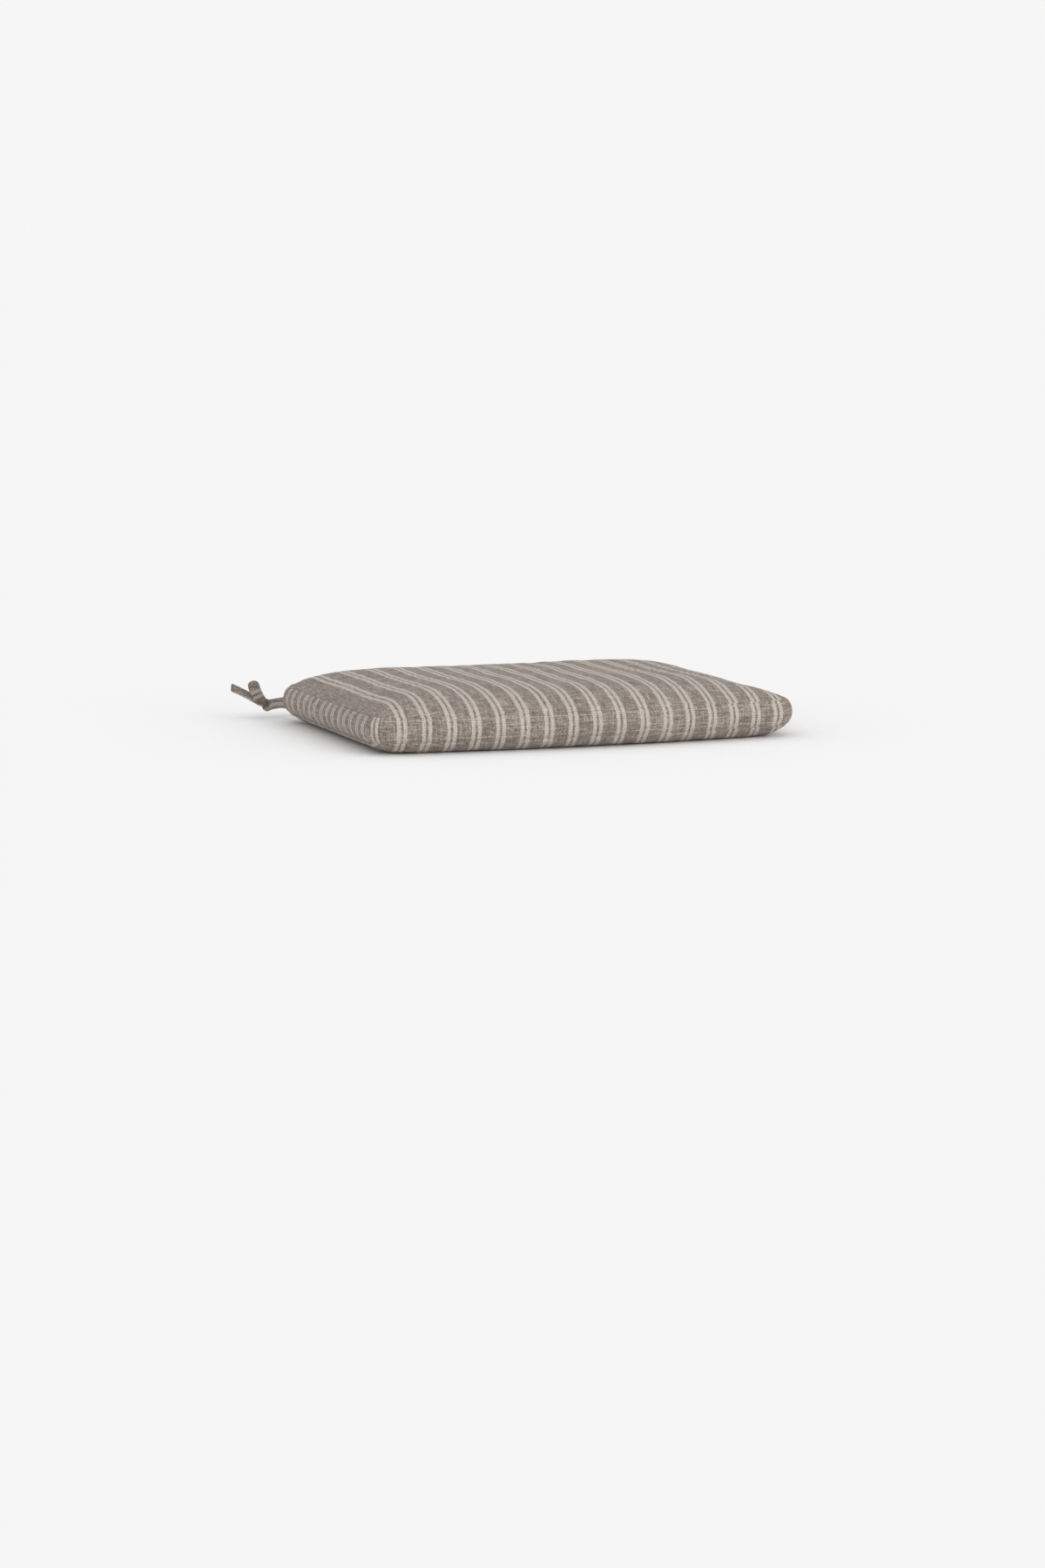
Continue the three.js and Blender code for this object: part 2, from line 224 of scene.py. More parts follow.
TAUPE_DARK = (96, 84, 75)
TAUPE = (136, 124, 115)
TAUPE_LIGHT = (186, 177, 168)
CREAM_DARK = (158, 148, 138)
CREAM = (194, 185, 176)
CREAM_LIGHT = (222, 214, 206)
THREAD_DARK = (166, 157, 147)
THREAD_CREAM = (204, 197, 188)
# Painted shade: the ties are the same ticking, with all their colours darkened by this factor to
# stand in for the shade they hang in
TIE_PAINTED_SHADE = 0.78

# The cloth's threads and stripes, in mm along the cloth
SLUB_STRETCH = 0.16  # slubs run this share as fast along a thread as across it
GRID_FINE, GRID_LONG = 0.42, 0.05  # frequency of the coarser threads, across and along them
TOOTH_PITCH = 2.3  # between the teeth at a cream band's edges
EDGE_STITCH = 4.7  # from the middle of a strap to the stitches along its edge
EDGE_STITCH_PITCH = 2.6


def weave(shader, u, v, pitch):
    """Plain weave: (1 where the weft lies over the warp, height of the threads)."""
    across, along = shader.sine(u, 2 * pitch), shader.sine(v, 2 * pitch)
    over = shader.step(across * along, -0.25, 0.25)
    ridge_u, ridge_v = abs(across), abs(along)
    ridge = (ridge_v - ridge_u) * over + ridge_u
    return over, ridge_u * ridge_v * 0.6 + ridge


def cream_bands(shader, stripe, v):
    """How much of each place is cream: two toothed bands for each whole stripe count."""
    from_stripe = abs(stripe - shader.math("ROUND", stripe)) * STRIPE_PITCH
    teeth = shader.sine(v, TOOTH_PITCH)
    ragged = shader.noise(shader.vector(stripe, v, 2.0), scale=0.8)
    edge = teeth * 0.34 + ragged * 1.1 - 0.55
    from_band = abs(from_stripe - BAND_CENTRE) - edge
    return shader.step(from_band, BAND_HALF + 0.3, BAND_HALF - 0.3), teeth


def striped_cloth(name, tone=1.0, edge_stitch=False):
    """Slubby taupe cloth with double cream bands. Attribute cloth holds, for each point, how
    many stripe pitches it is along the pattern, and its place across and along the threads."""
    shader = Shader(name, Roughness=0.92, Sheen_Weight=0.08, Sheen_Roughness=0.55,
                    Specular_IOR_Level=0.2)
    stripe, u, v = shader.attribute("cloth")
    over, threads = weave(shader, u, v, THREAD_PITCH)
    fine = 1 / THREAD_PITCH
    rough = {"detail": 3.0, "roughness": 0.65}
    warp = shader.noise(shader.vector(u * fine, v * SLUB_STRETCH), **rough)
    weft = shader.noise(shader.vector(u * SLUB_STRETCH, v * fine, 5.0), **rough)
    slub = (weft - warp) * over + warp
    cloud = shader.noise(shader.vector(u, v, 9.0), scale=0.035, detail=3.0)
    fleck = shader.noise(shader.vector(u, v, 3.0), scale=0.62, detail=3.0, roughness=0.7)
    grid = shader.noise(
        shader.vector(u * GRID_FINE, v * GRID_LONG, 1.0), roughness=0.7
    ) + shader.noise(shader.vector(u * GRID_LONG, v * GRID_FINE, 4.0), roughness=0.7)
    value = (fleck + slub) * 0.62 + grid * 0.5 + cloud * 0.14 + threads * 0.12

    # tone scales every colour of the cloth and its edge stitches; below 1 it is painted shade, as
    # on the ties
    def toned(*stops):
        return [(place, rgb(*colour, tone)) for place, colour in stops]

    ground = shader.ramp(
        value * 0.8 - 0.51,
        toned((0.40, TAUPE_DARK), (0.50, TAUPE), (0.56, TAUPE), (0.68, TAUPE_LIGHT)),
    )
    cream = shader.ramp(
        warp * 0.45 + fleck * 0.55,
        toned((0.34, CREAM_DARK), (0.5, CREAM), (0.68, CREAM_LIGHT)),
    )
    band, teeth = cream_bands(shader, stripe, v)
    floats = shader.noise(shader.vector(u * 0.8, v, 7.0), roughness=0.65)
    dots = over * shader.step(floats, 0.38, 0.6)
    share = band * (dots * -0.5 + 0.96 + teeth * 0.12)
    colour = shader.mix(share, ground, cream)
    height = threads * 0.16 + slub * 0.34 + band * 0.10
    if edge_stitch:
        row = shader.step(abs(abs(v) - EDGE_STITCH), 0.4, 0.2)
        sewn = row * shader.step(shader.sine(u, EDGE_STITCH_PITCH), -0.75, -0.45)
        colour = shader.mix(sewn * 0.6, colour, rgb(*THREAD_CREAM, tone))
        height = sewn * 0.35 + height
    return shader.finish(colour, bump=height, strength=0.85)


def thread_material():
    """Twisted sewing thread."""
    shader = Shader("sewing_thread", Roughness=0.6, Sheen_Weight=0.2, Sheen_Roughness=0.4)
    along, around, _ = shader.attribute("cloth")
    ply = abs(shader.math("SINE", around * 2.0 + along * 9.0))
    worn = shader.noise(shader.vector(along, around), scale=0.4)
    colour = shader.ramp(
        ply * 0.35 + worn * 0.65, [(0.2, rgb(*THREAD_DARK)), (0.7, rgb(*THREAD_CREAM))]
    )
    return shader.finish(colour, bump=ply * 0.08)


def tape_material():
    """Herringbone zip tape."""
    shader = Shader("zip_tape_cloth", Roughness=0.85, Sheen_Weight=0.1, Specular_IOR_Level=0.3)
    _, u, v = shader.attribute("cloth")
    twill = shader.sine(shader.math("PINGPONG", u, 1.6) + v, 0.7)
    cross = shader.sine(u, 0.4)
    fibre = shader.noise(shader.vector(u, v), scale=1.4, detail=3.0)
    colour = shader.ramp(
        twill * 0.12 + fibre,
        [(0.3, rgb(104, 94, 84)), (0.5, rgb(132, 121, 109)), (0.75, rgb(150, 139, 127))],
    )
    return shader.finish(colour, bump=(cross * 0.3 + twill) * 0.05)


def nylon_material():
    """Moulded nylon coil, slightly uneven in tone."""
    shader = Shader("coil_nylon", Roughness=0.38, Coat_Weight=0.15, Coat_Roughness=0.3)
    patchy = shader.noise(shader.position(), scale=260.0, detail=3.0)
    colour = shader.ramp(
        patchy, [(0.3, rgb(96, 86, 76)), (0.55, rgb(122, 111, 99)), (0.75, rgb(140, 128, 115))]
    )
    return shader.finish(colour, patchy * 0.25 + 0.28, bump=patchy * 0.03)


def zinc_material():
    """Die-cast zinc with a worn satin plating."""
    shader = Shader("plated_zinc", Metallic=1.0)
    place = shader.position()
    brushed = shader.stretched_noise(place, (400, 2500, 2500), 3.0)
    worn = shader.noise(place, scale=520.0, detail=4.0)
    pits = shader.step(shader.noise(place, scale=1900.0, detail=1.0), 0.68, 0.75)
    colour = shader.ramp(
        worn, [(0.3, rgb(150, 147, 140)), (0.55, rgb(186, 184, 178)), (0.8, rgb(205, 203, 198))]
    )
    rough = worn * 0.12 + brushed * 0.22 + 0.22
    return shader.finish(colour, rough, bump=brushed * 0.02 + pits * -0.03)


def foam_material():
    """Open-celled upholstery foam."""
    shader = Shader("open_cell_foam", Roughness=0.95, Subsurface_Weight=0.1)
    place = shader.position()
    _, cells = shader.node("TexVoronoi", "Distance", Vector=place, Scale=700.0)
    patchy = shader.noise(place, scale=18.0, detail=4.0)
    colour = shader.ramp(
        cells * 0.35 + patchy,
        [(0.35, rgb(196, 182, 140)), (0.6, rgb(228, 217, 178)), (0.9, rgb(240, 231, 200))],
    )
    return shader.finish(colour, bump=cells * 0.5)


def wadding_material():
    """Bonded fibre batt."""
    shader = Shader("fibre_wadding", Roughness=1.0, Sheen_Weight=0.4, Sheen_Roughness=0.6)
    place = shader.position()
    strands = shader.stretched_noise(place, (900, 130, 500), 5.0)
    tangle = strands + shader.stretched_noise(place, (140, 820, 500), 5.0)
    colour = shader.ramp(
        tangle * 0.5,
        [(0.35, rgb(222, 219, 210)), (0.55, rgb(240, 238, 232)), (0.7, rgb(248, 247, 243))],
    )
    return shader.finish(colour, bump=tangle * 0.6)


TICKING = striped_cloth("striped_ticking")
# The ties' cloth: the ticking darkened all over as painted shade, with stitched edges
SHADED_TIE_CLOTH = striped_cloth("striped_tie_cloth_painted_shade", tone=TIE_PAINTED_SHADE, edge_stitch=True)
THREAD = thread_material()
TAPE = tape_material()
NYLON = nylon_material()
ZINC = zinc_material()
FOAM = foam_material()
WADDING = wadding_material()


# ---------------------------------------------------------------- mesh pieces

def piece(name, points, faces, material, body="pad", replaced=(), cloth=None,
          thickness=0.0, subdivisions=0, bevel=0.0, smooth=True):
    """A named piece from points in mm. thickness is grown inwards, behind the faces."""
    mesh = bpy.data.meshes.new(name)
    mesh.from_pydata((np.asarray(points, float) * MM).tolist(), [], [list(f) for f in faces])
    if cloth is not None:
        layer = mesh.attributes.new("cloth", "FLOAT_VECTOR", "POINT")
        layer.data.foreach_set("vector", np.asarray(cloth, np.float32).ravel())
    mesh.validate()
    made = bpy.data.objects.new(name, mesh)
    bpy.context.scene.collection.objects.link(made)
    if bevel:
        rounding = made.modifiers.new("bevel", "BEVEL")
        rounding.width = bevel * MM
        rounding.segments = 3
        rounding.limit_method = "ANGLE"
        rounding.angle_limit = math.radians(35)
        rounding.harden_normals = False
    if subdivisions:
        finer = made.modifiers.new("finer", "SUBSURF")
        finer.levels = finer.render_levels = subdivisions
    if thickness:
        thick = made.modifiers.new("thick", "SOLIDIFY")
        thick.thickness = thickness * MM
        thick.offset = -1
    if made.modifiers:
        graph = bpy.context.evaluated_depsgraph_get()
        final = bpy.data.meshes.new_from_object(made.evaluated_get(graph))
        made.modifiers.clear()
        made.data = final
        final.name = name
    made.data.materials.clear()
    made.data.materials.append(material)
    made.data.shade_smooth() if smooth else made.data.shade_flat()
    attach(made, body)
    if replaced:
        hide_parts(*replaced)
    return made


def grid_faces(rows, columns, closed=False, start=0):
    """Quads over points stored row by row. closed joins the last column to the first."""
    faces = []
    last = columns if closed else columns - 1
    for r in range(rows - 1):
        for c in range(last):
            d = (c + 1) % columns
            a, b = start + r * columns, start + (r + 1) * columns
            faces.append((a + c, a + d, b + d, b + c))
    return faces


def index_faces(ids, closed=False):
    """Quads over a grid of point indices."""
    flat = ids.ravel()
    return [tuple(int(flat[i]) for i in f) for f in grid_faces(*ids.shape, closed=closed)]


def turned_over(faces):
    return [f[::-1] for f in faces]


def tube_faces(rings, sides, start=0):
    """Quads of a tube stored ring by ring, and a cap at each of its ends."""
    first = tuple(range(start, start + sides))
    last = tuple(range(start + (rings - 1) * sides, start + rings * sides))
    return grid_faces(rings, sides, closed=True, start=start) + [first[::-1], last]


def merged(parts):
    """Several (points, faces) as one."""
    points, faces, start = [], [], 0
    for shape, its_faces in parts:
        points.append(shape)
        faces += [tuple(start + int(i) for i in face) for face in its_faces]
        start += len(shape)
    return np.vstack(points), faces


def sheet(name, places, cloth, material, replaced, thickness, turned=False):
    """A sheet over rows of places. cloth holds its stripe counts, lengths and heights."""
    faces = grid_faces(*places.shape[:2])
    cloth = np.stack(np.broadcast_arrays(*cloth), axis=-1)
    return piece(name, places.reshape(-1, 3), turned_over(faces) if turned else faces, material,
                 replaced=replaced, cloth=cloth.reshape(-1, 3), thickness=thickness,
                 subdivisions=1)


def eased(share):
    """A share held within 0 to 1, with a smooth start and end."""
    share = np.clip(share, 0, 1)
    return share * share * (3 - 2 * share)


def unit(vectors):
    vectors = np.asarray(vectors, float)
    return vectors / np.maximum(np.linalg.norm(vectors, axis=-1, keepdims=True), 1e-12)


def catmull(points, step):
    """Points about step apart on a smooth curve through the given ones."""
    p = np.array(points, float)
    p = np.vstack([2 * p[0] - p[1], p, 2 * p[-1] - p[-2]])
    fine = []
    for i in range(1, len(p) - 2):
        t = np.linspace(0, 1, 24, endpoint=False)[:, None]
        a, b, c, d = p[i - 1], p[i], p[i + 1], p[i + 2]
        fine.append(0.5 * (
            2 * b + (c - a) * t + (2 * a - 5 * b + 4 * c - d) * t**2
            + (3 * b - a - 3 * c + d) * t**3
        ))
    fine = np.vstack([*fine, p[-2][None]])
    along = np.concatenate([[0], np.cumsum(np.linalg.norm(np.diff(fine, axis=0), axis=1))])
    count = max(2, round(along[-1] / step))
    at = np.linspace(0, along[-1], count + 1)
    return np.stack([np.interp(at, along, fine[:, k]) for k in range(3)], axis=1), at


# ---------------------------------------------------------------- ties

TIE_WIDTH = 13
CUPPED_SHARE = 0.85  # of the width, where a strap is cupped on its way to the knot
GATHERED_SHARE = 0.45  # of the width, where the knot gathers it
TIE_HALF_THICKNESS = 0.9
to_corner = (CORNER_RADIUS + BOXING_SWELL) * math.sqrt(0.5)
ANCHOR_X = SEAM_WIDTH / 2 - CORNER_RADIUS + to_corner
ANCHOR_Y = SEAM_DEPTH / 2 - CORNER_RADIUS + to_corner + SHIFT_Y
KNOT = [9, 52.6, 13]
BLUNTNESS = 2.6  # 2 for a round end, more for a squarer one
BAND_FROM_TIP = 16.0
STRIPE_DRIFT = 0.14  # how much a lengthwise stripe drifts across the strap past the knot
OUTER_ROUTE = [[-3, -3, 19.5], [1.8, 1, 19.5], [4.8, 16.6, 18.5], [7.5, 32.6, 16], [8.6, 45.2, 14]]
INNER_ROUTE = [
    [-4, -2, 19.5], [-1.8, 4, 19], [-16, 20.6, 15.6], [-29.5, 33.6, 15.4], [-34.4, 53.1, 15.2],
    [-28.5, 66.6, 14.6], [-15, 72.6, 13.8], [-2, 68.1, 13], [5.4, 60.4, 13],
]
RAISED_WIDE = (
    [[18, 48.5, 18.2], [22.8, 47, 25.4], [26.6, 46, 34.4], [28.2, 45.5, 41.9]],
    [-0.87, -0.24, 0.32],
)
RAISED_NARROW = (
    [[17.1, 54.2, 16.2], [33.3, 54.6, 25.8], [51.1, 53.6, 34.9]], [-0.49, 0.75, 0.42]
)
LOWERED_WIDE = (
    [[16.4, 55.1, 10], [22, 58.6, 5.5], [30, 63.6, 2.4], [38, 68.6, 1.2]], [-0.5, 0.85, 0]
)
LOWERED_NARROW = (
    [[15.6, 46.2, 10], [24, 40.6, 5], [36, 35.6, 2], [48, 32.6, 1.2]], [0.4, 0.92, 0]
)

# Half of a strap's section: (place across from 0 to 1, height), with a groove at the stitches
STRAP_PROFILE = [
    (0.0, 0.92), (0.3, 0.95), (0.58, 0.9), (0.68, 0.78), (0.745, 0.55), (0.81, 0.8),
    (0.9, 0.86), (0.965, 0.6), (1.0, 0.0),
]


def strap_section():
    """The closed section, as (place across from -1 to 1, height)."""
    upper = [(-a, t) for a, t in reversed(STRAP_PROFILE)] + STRAP_PROFILE[1:]
    lower = [(a, -t) for a, t in reversed(upper[1:-1])]
    return np.array(upper + lower)


def sweep(path, across, widths, lift, closed=False):
    """A flat strap along a path. Returns its points, faces and place across at each point."""
    section = strap_section()
    along = unit(np.roll(path, -1, 0) - np.roll(path, 1, 0)) if closed else unit(
        np.gradient(path, axis=0)
    )
    across = unit(across - (across * along).sum(1, keepdims=True) * along)
    through = np.cross(across, along)
    points, places = [], []
    for i, centre in enumerate(path):
        half = widths[i] / 2
        place = section[:, 0] * half
        height = section[:, 1] * TIE_HALF_THICKNESS * min(1.0, 0.35 + widths[i] / 8)
        ripple = lift[i] * np.sin(section[:, 0] * 8.0 + i * 0.13)
        points.append(
            centre + across[i] * place[:, None] + through[i] * (height + ripple)[:, None]
        )
        places.append(place)
    count = len(section)
    if closed:
        ids = np.arange(len(path) * count).reshape(-1, count)
        faces = index_faces(np.vstack([ids, ids[:1]]), closed=True)
    else:
        faces = tube_faces(len(path), count)
    return np.vstack(points), turned_over(faces), np.concatenate(places)


def tie(name, sign, route, tail, lengthwise, rounded, replaced):
    """One strap from the corner seam through the knot to the end of its tail. lengthwise says
    that the stripes run along it; else they cross it."""
    tail_route, tail_wide = tail
    flip = np.array([sign, 1, 1])
    origin = np.array([sign * ANCHOR_X, ANCHOR_Y, 0])
    whole = np.array(route + [KNOT] + tail_route) * flip + origin
    path, at = catmull(whole, 1.5)
    knot_at = at[np.argmin(np.linalg.norm(path - (np.array(KNOT) * flip + origin), axis=1))]
    turn = eased((at - knot_at + 6) / 14)[:, None]
    across = (1 - turn) * np.array([0, 0, 1.0]) + turn * np.array(tail_wide) * flip
    gather = eased((np.abs(at - knot_at) - 3) / 9)
    full = TIE_WIDTH * np.where(at > knot_at, 1, CUPPED_SHARE)
    widths = full * (GATHERED_SHARE + (1 - GATHERED_SHARE) * gather)
    from_end = at[-1] - at
    if rounded:
        radius = TIE_WIDTH / 2
        inside = np.clip((radius - from_end) / radius, 0, 0.985)
        widths = widths * (1 - inside**BLUNTNESS) ** (1 / BLUNTNESS)
    else:
        widths = widths * np.where(from_end < 0.8, 0.94, 1.0)
    points, faces, places = sweep(path, across, widths, 0.55 * (1 - gather))
    distance = np.repeat(at, len(points) // len(path))
    if lengthwise:
        drift = STRIPE_DRIFT * np.clip(distance - 40, 0, None)
        stripe = (places + BAND_CENTRE + drift) / STRIPE_PITCH
    else:
        stripe = (distance - at[-1] + BAND_FROM_TIP) / STRIPE_PITCH
    cloth = np.column_stack([stripe, distance, places])
    made = piece(name, points, faces, SHADED_TIE_CLOTH, replaced=replaced, cloth=cloth,
                 subdivisions=1)
    return made


# Each loop of the knot: its two axes, radii and width, and where its middle stands
KNOT_LOOPS = [
    ((0.15, 0.99, 0.0), (0, 0.1, 1), 4.1, 5.2, 6.2, (-1.1, -0.6, 0.3)),
    ((0.5, 0.75, 0.45), (-0.35, -0.3, 0.9), 4.3, 5.0, 5.6, (1.5, 0.5, 0.2)),
    ((0.9, -0.2, 0.35), (-0.2, 0.35, 0.9), 3.9, 5.3, 5.0, (0.3, 0.2, -0.4)),
]
CORE_RADII = [3.3, 4.0, 4.7]


def knot_core(centre):
    """The full middle of the knot: a creased ball."""
    rings, around = 14, 24
    lean = np.repeat(math.pi * np.arange(rings + 1) / rings, around)
    angle = np.tile(2 * math.pi * np.arange(around) / around, rings + 1)
    way = np.column_stack([
        np.sin(lean) * np.cos(angle), np.sin(lean) * np.sin(angle), np.cos(lean)
    ])
    crease = 1 - 0.07 * np.cos(3 * angle + 2 * lean)
    points = way * CORE_RADII * crease[:, None] + centre
    cloth = np.column_stack([np.full(len(points), 0.45), points[:, 0], points[:, 2]])
    return points, turned_over(grid_faces(rings + 1, around, closed=True)), cloth


def knot_piece(side, sign):
    """An overhand knot of the two straps: bands that wrap each other round a full core."""
    centre = np.array(KNOT) * [sign, 1, 1] + [sign * ANCHOR_X, ANCHOR_Y, 0]
    parts, cloth = [], []
    for n, (first, second, small, large, width, middle) in enumerate(KNOT_LOOPS):
        first, second = unit(first), np.array(second, float)
        second = unit(second - second.dot(first) * first)
        turn = np.linspace(0, 2 * math.pi, 40, endpoint=False)
        path = (
            np.outer(np.cos(turn) * small, first) + np.outer(np.sin(turn) * large, second)
            + np.array(middle)
        )
        path = path * [sign, 1, 1] + centre
        normal = np.cross(first, second) * [sign, 1, 1]
        across = np.tile(normal, (len(path), 1)) + 0.25 * np.sin(turn + n)[:, None]
        widths = width * (1 - 0.14 * np.cos(2 * turn + n))
        lift = 0.35 + 0.15 * np.sin(turn * 2)
        shape, quads, places = sweep(path, across, widths, lift, closed=True)
        parts.append((shape, turned_over(quads) if sign < 0 else quads))
        distance = np.repeat(turn * 4.6, len(shape) // len(path)) + 7 * n
        cloth.append(np.column_stack([distance / STRIPE_PITCH + 0.2, distance, places]))
    *core, core_cloth = knot_core(centre)
    points, faces = merged([*parts, core])
    return piece(f"tie_{side}_knot_wraps", points, faces, SHADED_TIE_CLOTH,
                 replaced=[f"tie_{side}_knot"], cloth=np.vstack([*cloth, core_cloth]),
                 subdivisions=1)


def ties():
    for side, sign, wide, narrow in (
        ("left", -1, RAISED_WIDE, RAISED_NARROW), ("right", 1, LOWERED_WIDE, LOWERED_NARROW),
    ):
        knot = knot_piece(side, sign)
        tie(f"tie_{side}_outer_strap", sign, OUTER_ROUTE, narrow, True, False,
            [f"tie_{side}_outer", f"tie_{side}_narrow_tail"])
        tie(f"tie_{side}_inner_strap", sign, INNER_ROUTE, wide, False, True,
            [f"tie_{side}_inner", f"tie_{side}_wide_tail"])


ties()


# ---------------------------------------------------------------- cover form

END_STATIONS = np.array([0, 1.2, 2.8, 5.0, 8.0])
WIDE_STEPS = 88  # even steps along the front and the back
DEEP_STEPS = 67  # even steps along each side
TOP_RINGS = np.array([0, 1.2, 2.6, 4.4, 7, 10.5, 14.5, 19, 24, 29, 34.5, 40, 46])
BASE_RINGS = np.array([0, 1.2, 2.6, 4.4, 7, 10.5, 14.5, 19, 24, 29])
BOXING_ROWS = np.array([0, 1.1, 2.6, 5, 7.5, 10.5, 14, 17.5, 21, 24, 25.8, 27, 28])
MEAN_REACH = 210
RIGHT_SOFTER = 0.35  # how much rounder the crown's shoulder is at the right side
CORNER_BULGE = 1.9  # how far the filled back left corner stands out past the seam line
BULGE_REACH = 26


def seam_line():
    """The seam line in fine steps, from the middle of the back left corner by way of the
    left side, the front and the right side. Returns points and the index of each corner."""
    half_width, half_depth = SEAM_WIDTH / 2, SEAM_DEPTH / 2
    corner_x = half_width - CORNER_RADIUS
    back_y = half_depth - CORNER_RADIUS
    front_y = -half_depth + FRONT_BOW + CORNER_RADIUS
    line = []

    def arc(x, y, start, end):
        angle = np.radians(np.linspace(start, end, 90, endpoint=False))
        line.append(np.column_stack([
            x + CORNER_RADIUS * np.cos(angle), y + CORNER_RADIUS * np.sin(angle)
        ]))

    def run(x, y):
        line.append(np.column_stack([x[:-1], y[:-1]]))

    arc(-corner_x, back_y, 135, 180)
    y = np.linspace(back_y, front_y, 1200)
    run(np.full_like(y, -half_width), y)
    arc(-corner_x, front_y, 180, 225)
    arc(-corner_x, front_y, 225, 270)
    x = np.linspace(-corner_x, corner_x, 1600)
    run(x, -half_depth + FRONT_BOW * (x / corner_x) ** 2)
    arc(corner_x, front_y, 270, 315)
    arc(corner_x, front_y, 315, 360)
    run(np.full_like(y, half_width), y[::-1])
    arc(corner_x, back_y, 0, 45)
    arc(corner_x, back_y, 45, 90)
    run(x[::-1], np.full_like(x, half_depth))
    arc(-corner_x, back_y, 90, 135)
    sizes = np.cumsum([0] + [len(part) for part in line])
    return np.vstack(line), [sizes[0], sizes[3], sizes[6], sizes[9], sizes[12]]


def arc_length(points):
    return np.concatenate([[0], np.cumsum(np.linalg.norm(np.diff(points, axis=0), axis=1))])


def smooth_loop(points, spread):
    """The loop rounded by a Gaussian of that spread, in mm, taken on even steps."""
    closed = np.vstack([points, points[:1]])
    along = arc_length(closed)
    even = np.linspace(0, along[-1], 6000, endpoint=False)
    p = np.stack([np.interp(even, along, closed[:, k]) for k in range(2)], axis=1)
    wave = np.fft.fftfreq(len(p), along[-1] / len(p))
    keep = np.exp(-2 * (math.pi * wave * spread) ** 2)[:, None]
    return np.fft.ifft(np.fft.fft(p, axis=0) * keep, axis=0).real, even, along


class Outline:
    """Columns round the seam line, closer together next to each corner seam."""

    def __init__(self):
        raw, corners = seam_line()
        loop, even, along = smooth_loop(raw, 3.0)
        total = along[-1]
        corner_at = [along[c] for c in corners]
        corner_at[-1] = total
        at, side = [], []
        for n in range(4):
            start, end = corner_at[n], corner_at[n + 1]
            steps = DEEP_STEPS if n % 2 == 0 else WIDE_STEPS
            near = END_STATIONS[-1]
            middle = np.linspace(start + near, end - near, steps + 1)
            stations = np.concatenate([
                start + END_STATIONS[:-1], middle, (end - END_STATIONS[:-1])[::-1]
            ])
            at.append(stations[:-1])
            side += [n] * (len(stations) - 1)
        self.at = np.concatenate(at)
        self.side = np.array(side)
        self.total = total
        self.corner_at = corner_at
        wrapped = np.vstack([loop, loop[:1]])
        stations = np.append(even, total)
        self.points = np.stack(
            [np.interp(self.at, stations, wrapped[:, k]) for k in range(2)], axis=1
        )
        run_on = np.concatenate([loop[-2:], loop, loop[:2]])
        slope = np.gradient(run_on, axis=0)[2:-2]
        slope = unit(np.stack(
            [np.interp(self.at, even, slope[:, k]) for k in range(2)], axis=1
        ))
        self.normals = np.column_stack([slope[:, 1], -slope[:, 0]])
        from_back = np.minimum(self.at, total - self.at)
        bulge = CORNER_BULGE * np.exp(-((from_back / BULGE_REACH) ** 2))
        self.points = self.points + self.normals * bulge[:, None]
        self.count = len(self.at)
        self.deep = DEEP_STEPS + 2 * (len(END_STATIONS) - 1)
        self.wide = WIDE_STEPS + 2 * (len(END_STATIONS) - 1)

    def from_corner(self):
        """Distance of each column along the seam from the nearest corner seam."""
        away = np.abs(self.at[:, None] - np.array(self.corner_at)[None, :])
        return away.min(axis=1)

    def radius(self, x, y):
        """Distance from the middle to the outline, in the direction of each point."""
        angle = np.arctan2(self.points[:, 1], self.points[:, 0])
        order = np.argsort(angle)
        angle, radius = angle[order], np.linalg.norm(self.points, axis=1)[order]
        angle = np.concatenate([[angle[-1] - 2 * math.pi], angle, [angle[0] + 2 * math.pi]])
        radius = np.concatenate([[radius[-1]], radius, [radius[0]]])
        return np.interp(np.arctan2(y, x), angle, radius)


outline = Outline()


def crown_height(share, x=0.0):
    """Height of the crown. Its shoulder is rounder towards the right side."""
    power = SHOULDER_POWER * (1 - RIGHT_SOFTER * eased((x - 40) / 180))
    return TOP_SEAM + CROWN_RISE * (1 - share**power)


def base_height(share, x=0.0):
    """Height of the base: flat where it rests, and up to the bottom seam past that."""
    return BOTTOM_SEAM * (np.clip(share - REST_SHARE, 0, None) / (1 - REST_SHARE)) ** 2


def swell(z):
    """How far the boxing stands out past the seams, at a height."""
    return BOXING_SWELL * (1 - ((z - MID_HEIGHT) / (BOXING_HEIGHT / 2)) ** 2)


def edges_of(ring):
    """The front, back, left and right edge of the grid inside a ring of columns."""
    deep, wide, n = outline.deep, outline.wide, outline.count
    return (
        ring[deep + np.arange(wide + 1)], ring[(n - np.arange(wide + 1)) % n],
        ring[deep - np.arange(deep + 1)], ring[deep + wide + np.arange(deep + 1)],
    )


def inside_grid(ring):
    """Points on a grid that fills a ring of columns, front to back and left to right."""
    front, back, left, right = edges_of(ring)
    a, b = arc_length(front), arc_length(left)
    a, b = (a / a[-1])[None, :, None], (b / b[-1])[:, None, None]
    ruled = (1 - b) * front[None] + b * back[None] + (1 - a) * left[:, None] + a * right[:, None]
    bilinear = (
        (1 - a) * (1 - b) * front[0] + a * (1 - b) * front[-1]
        + (1 - a) * b * back[0] + a * b * back[-1]
    )
    return ruled - bilinear


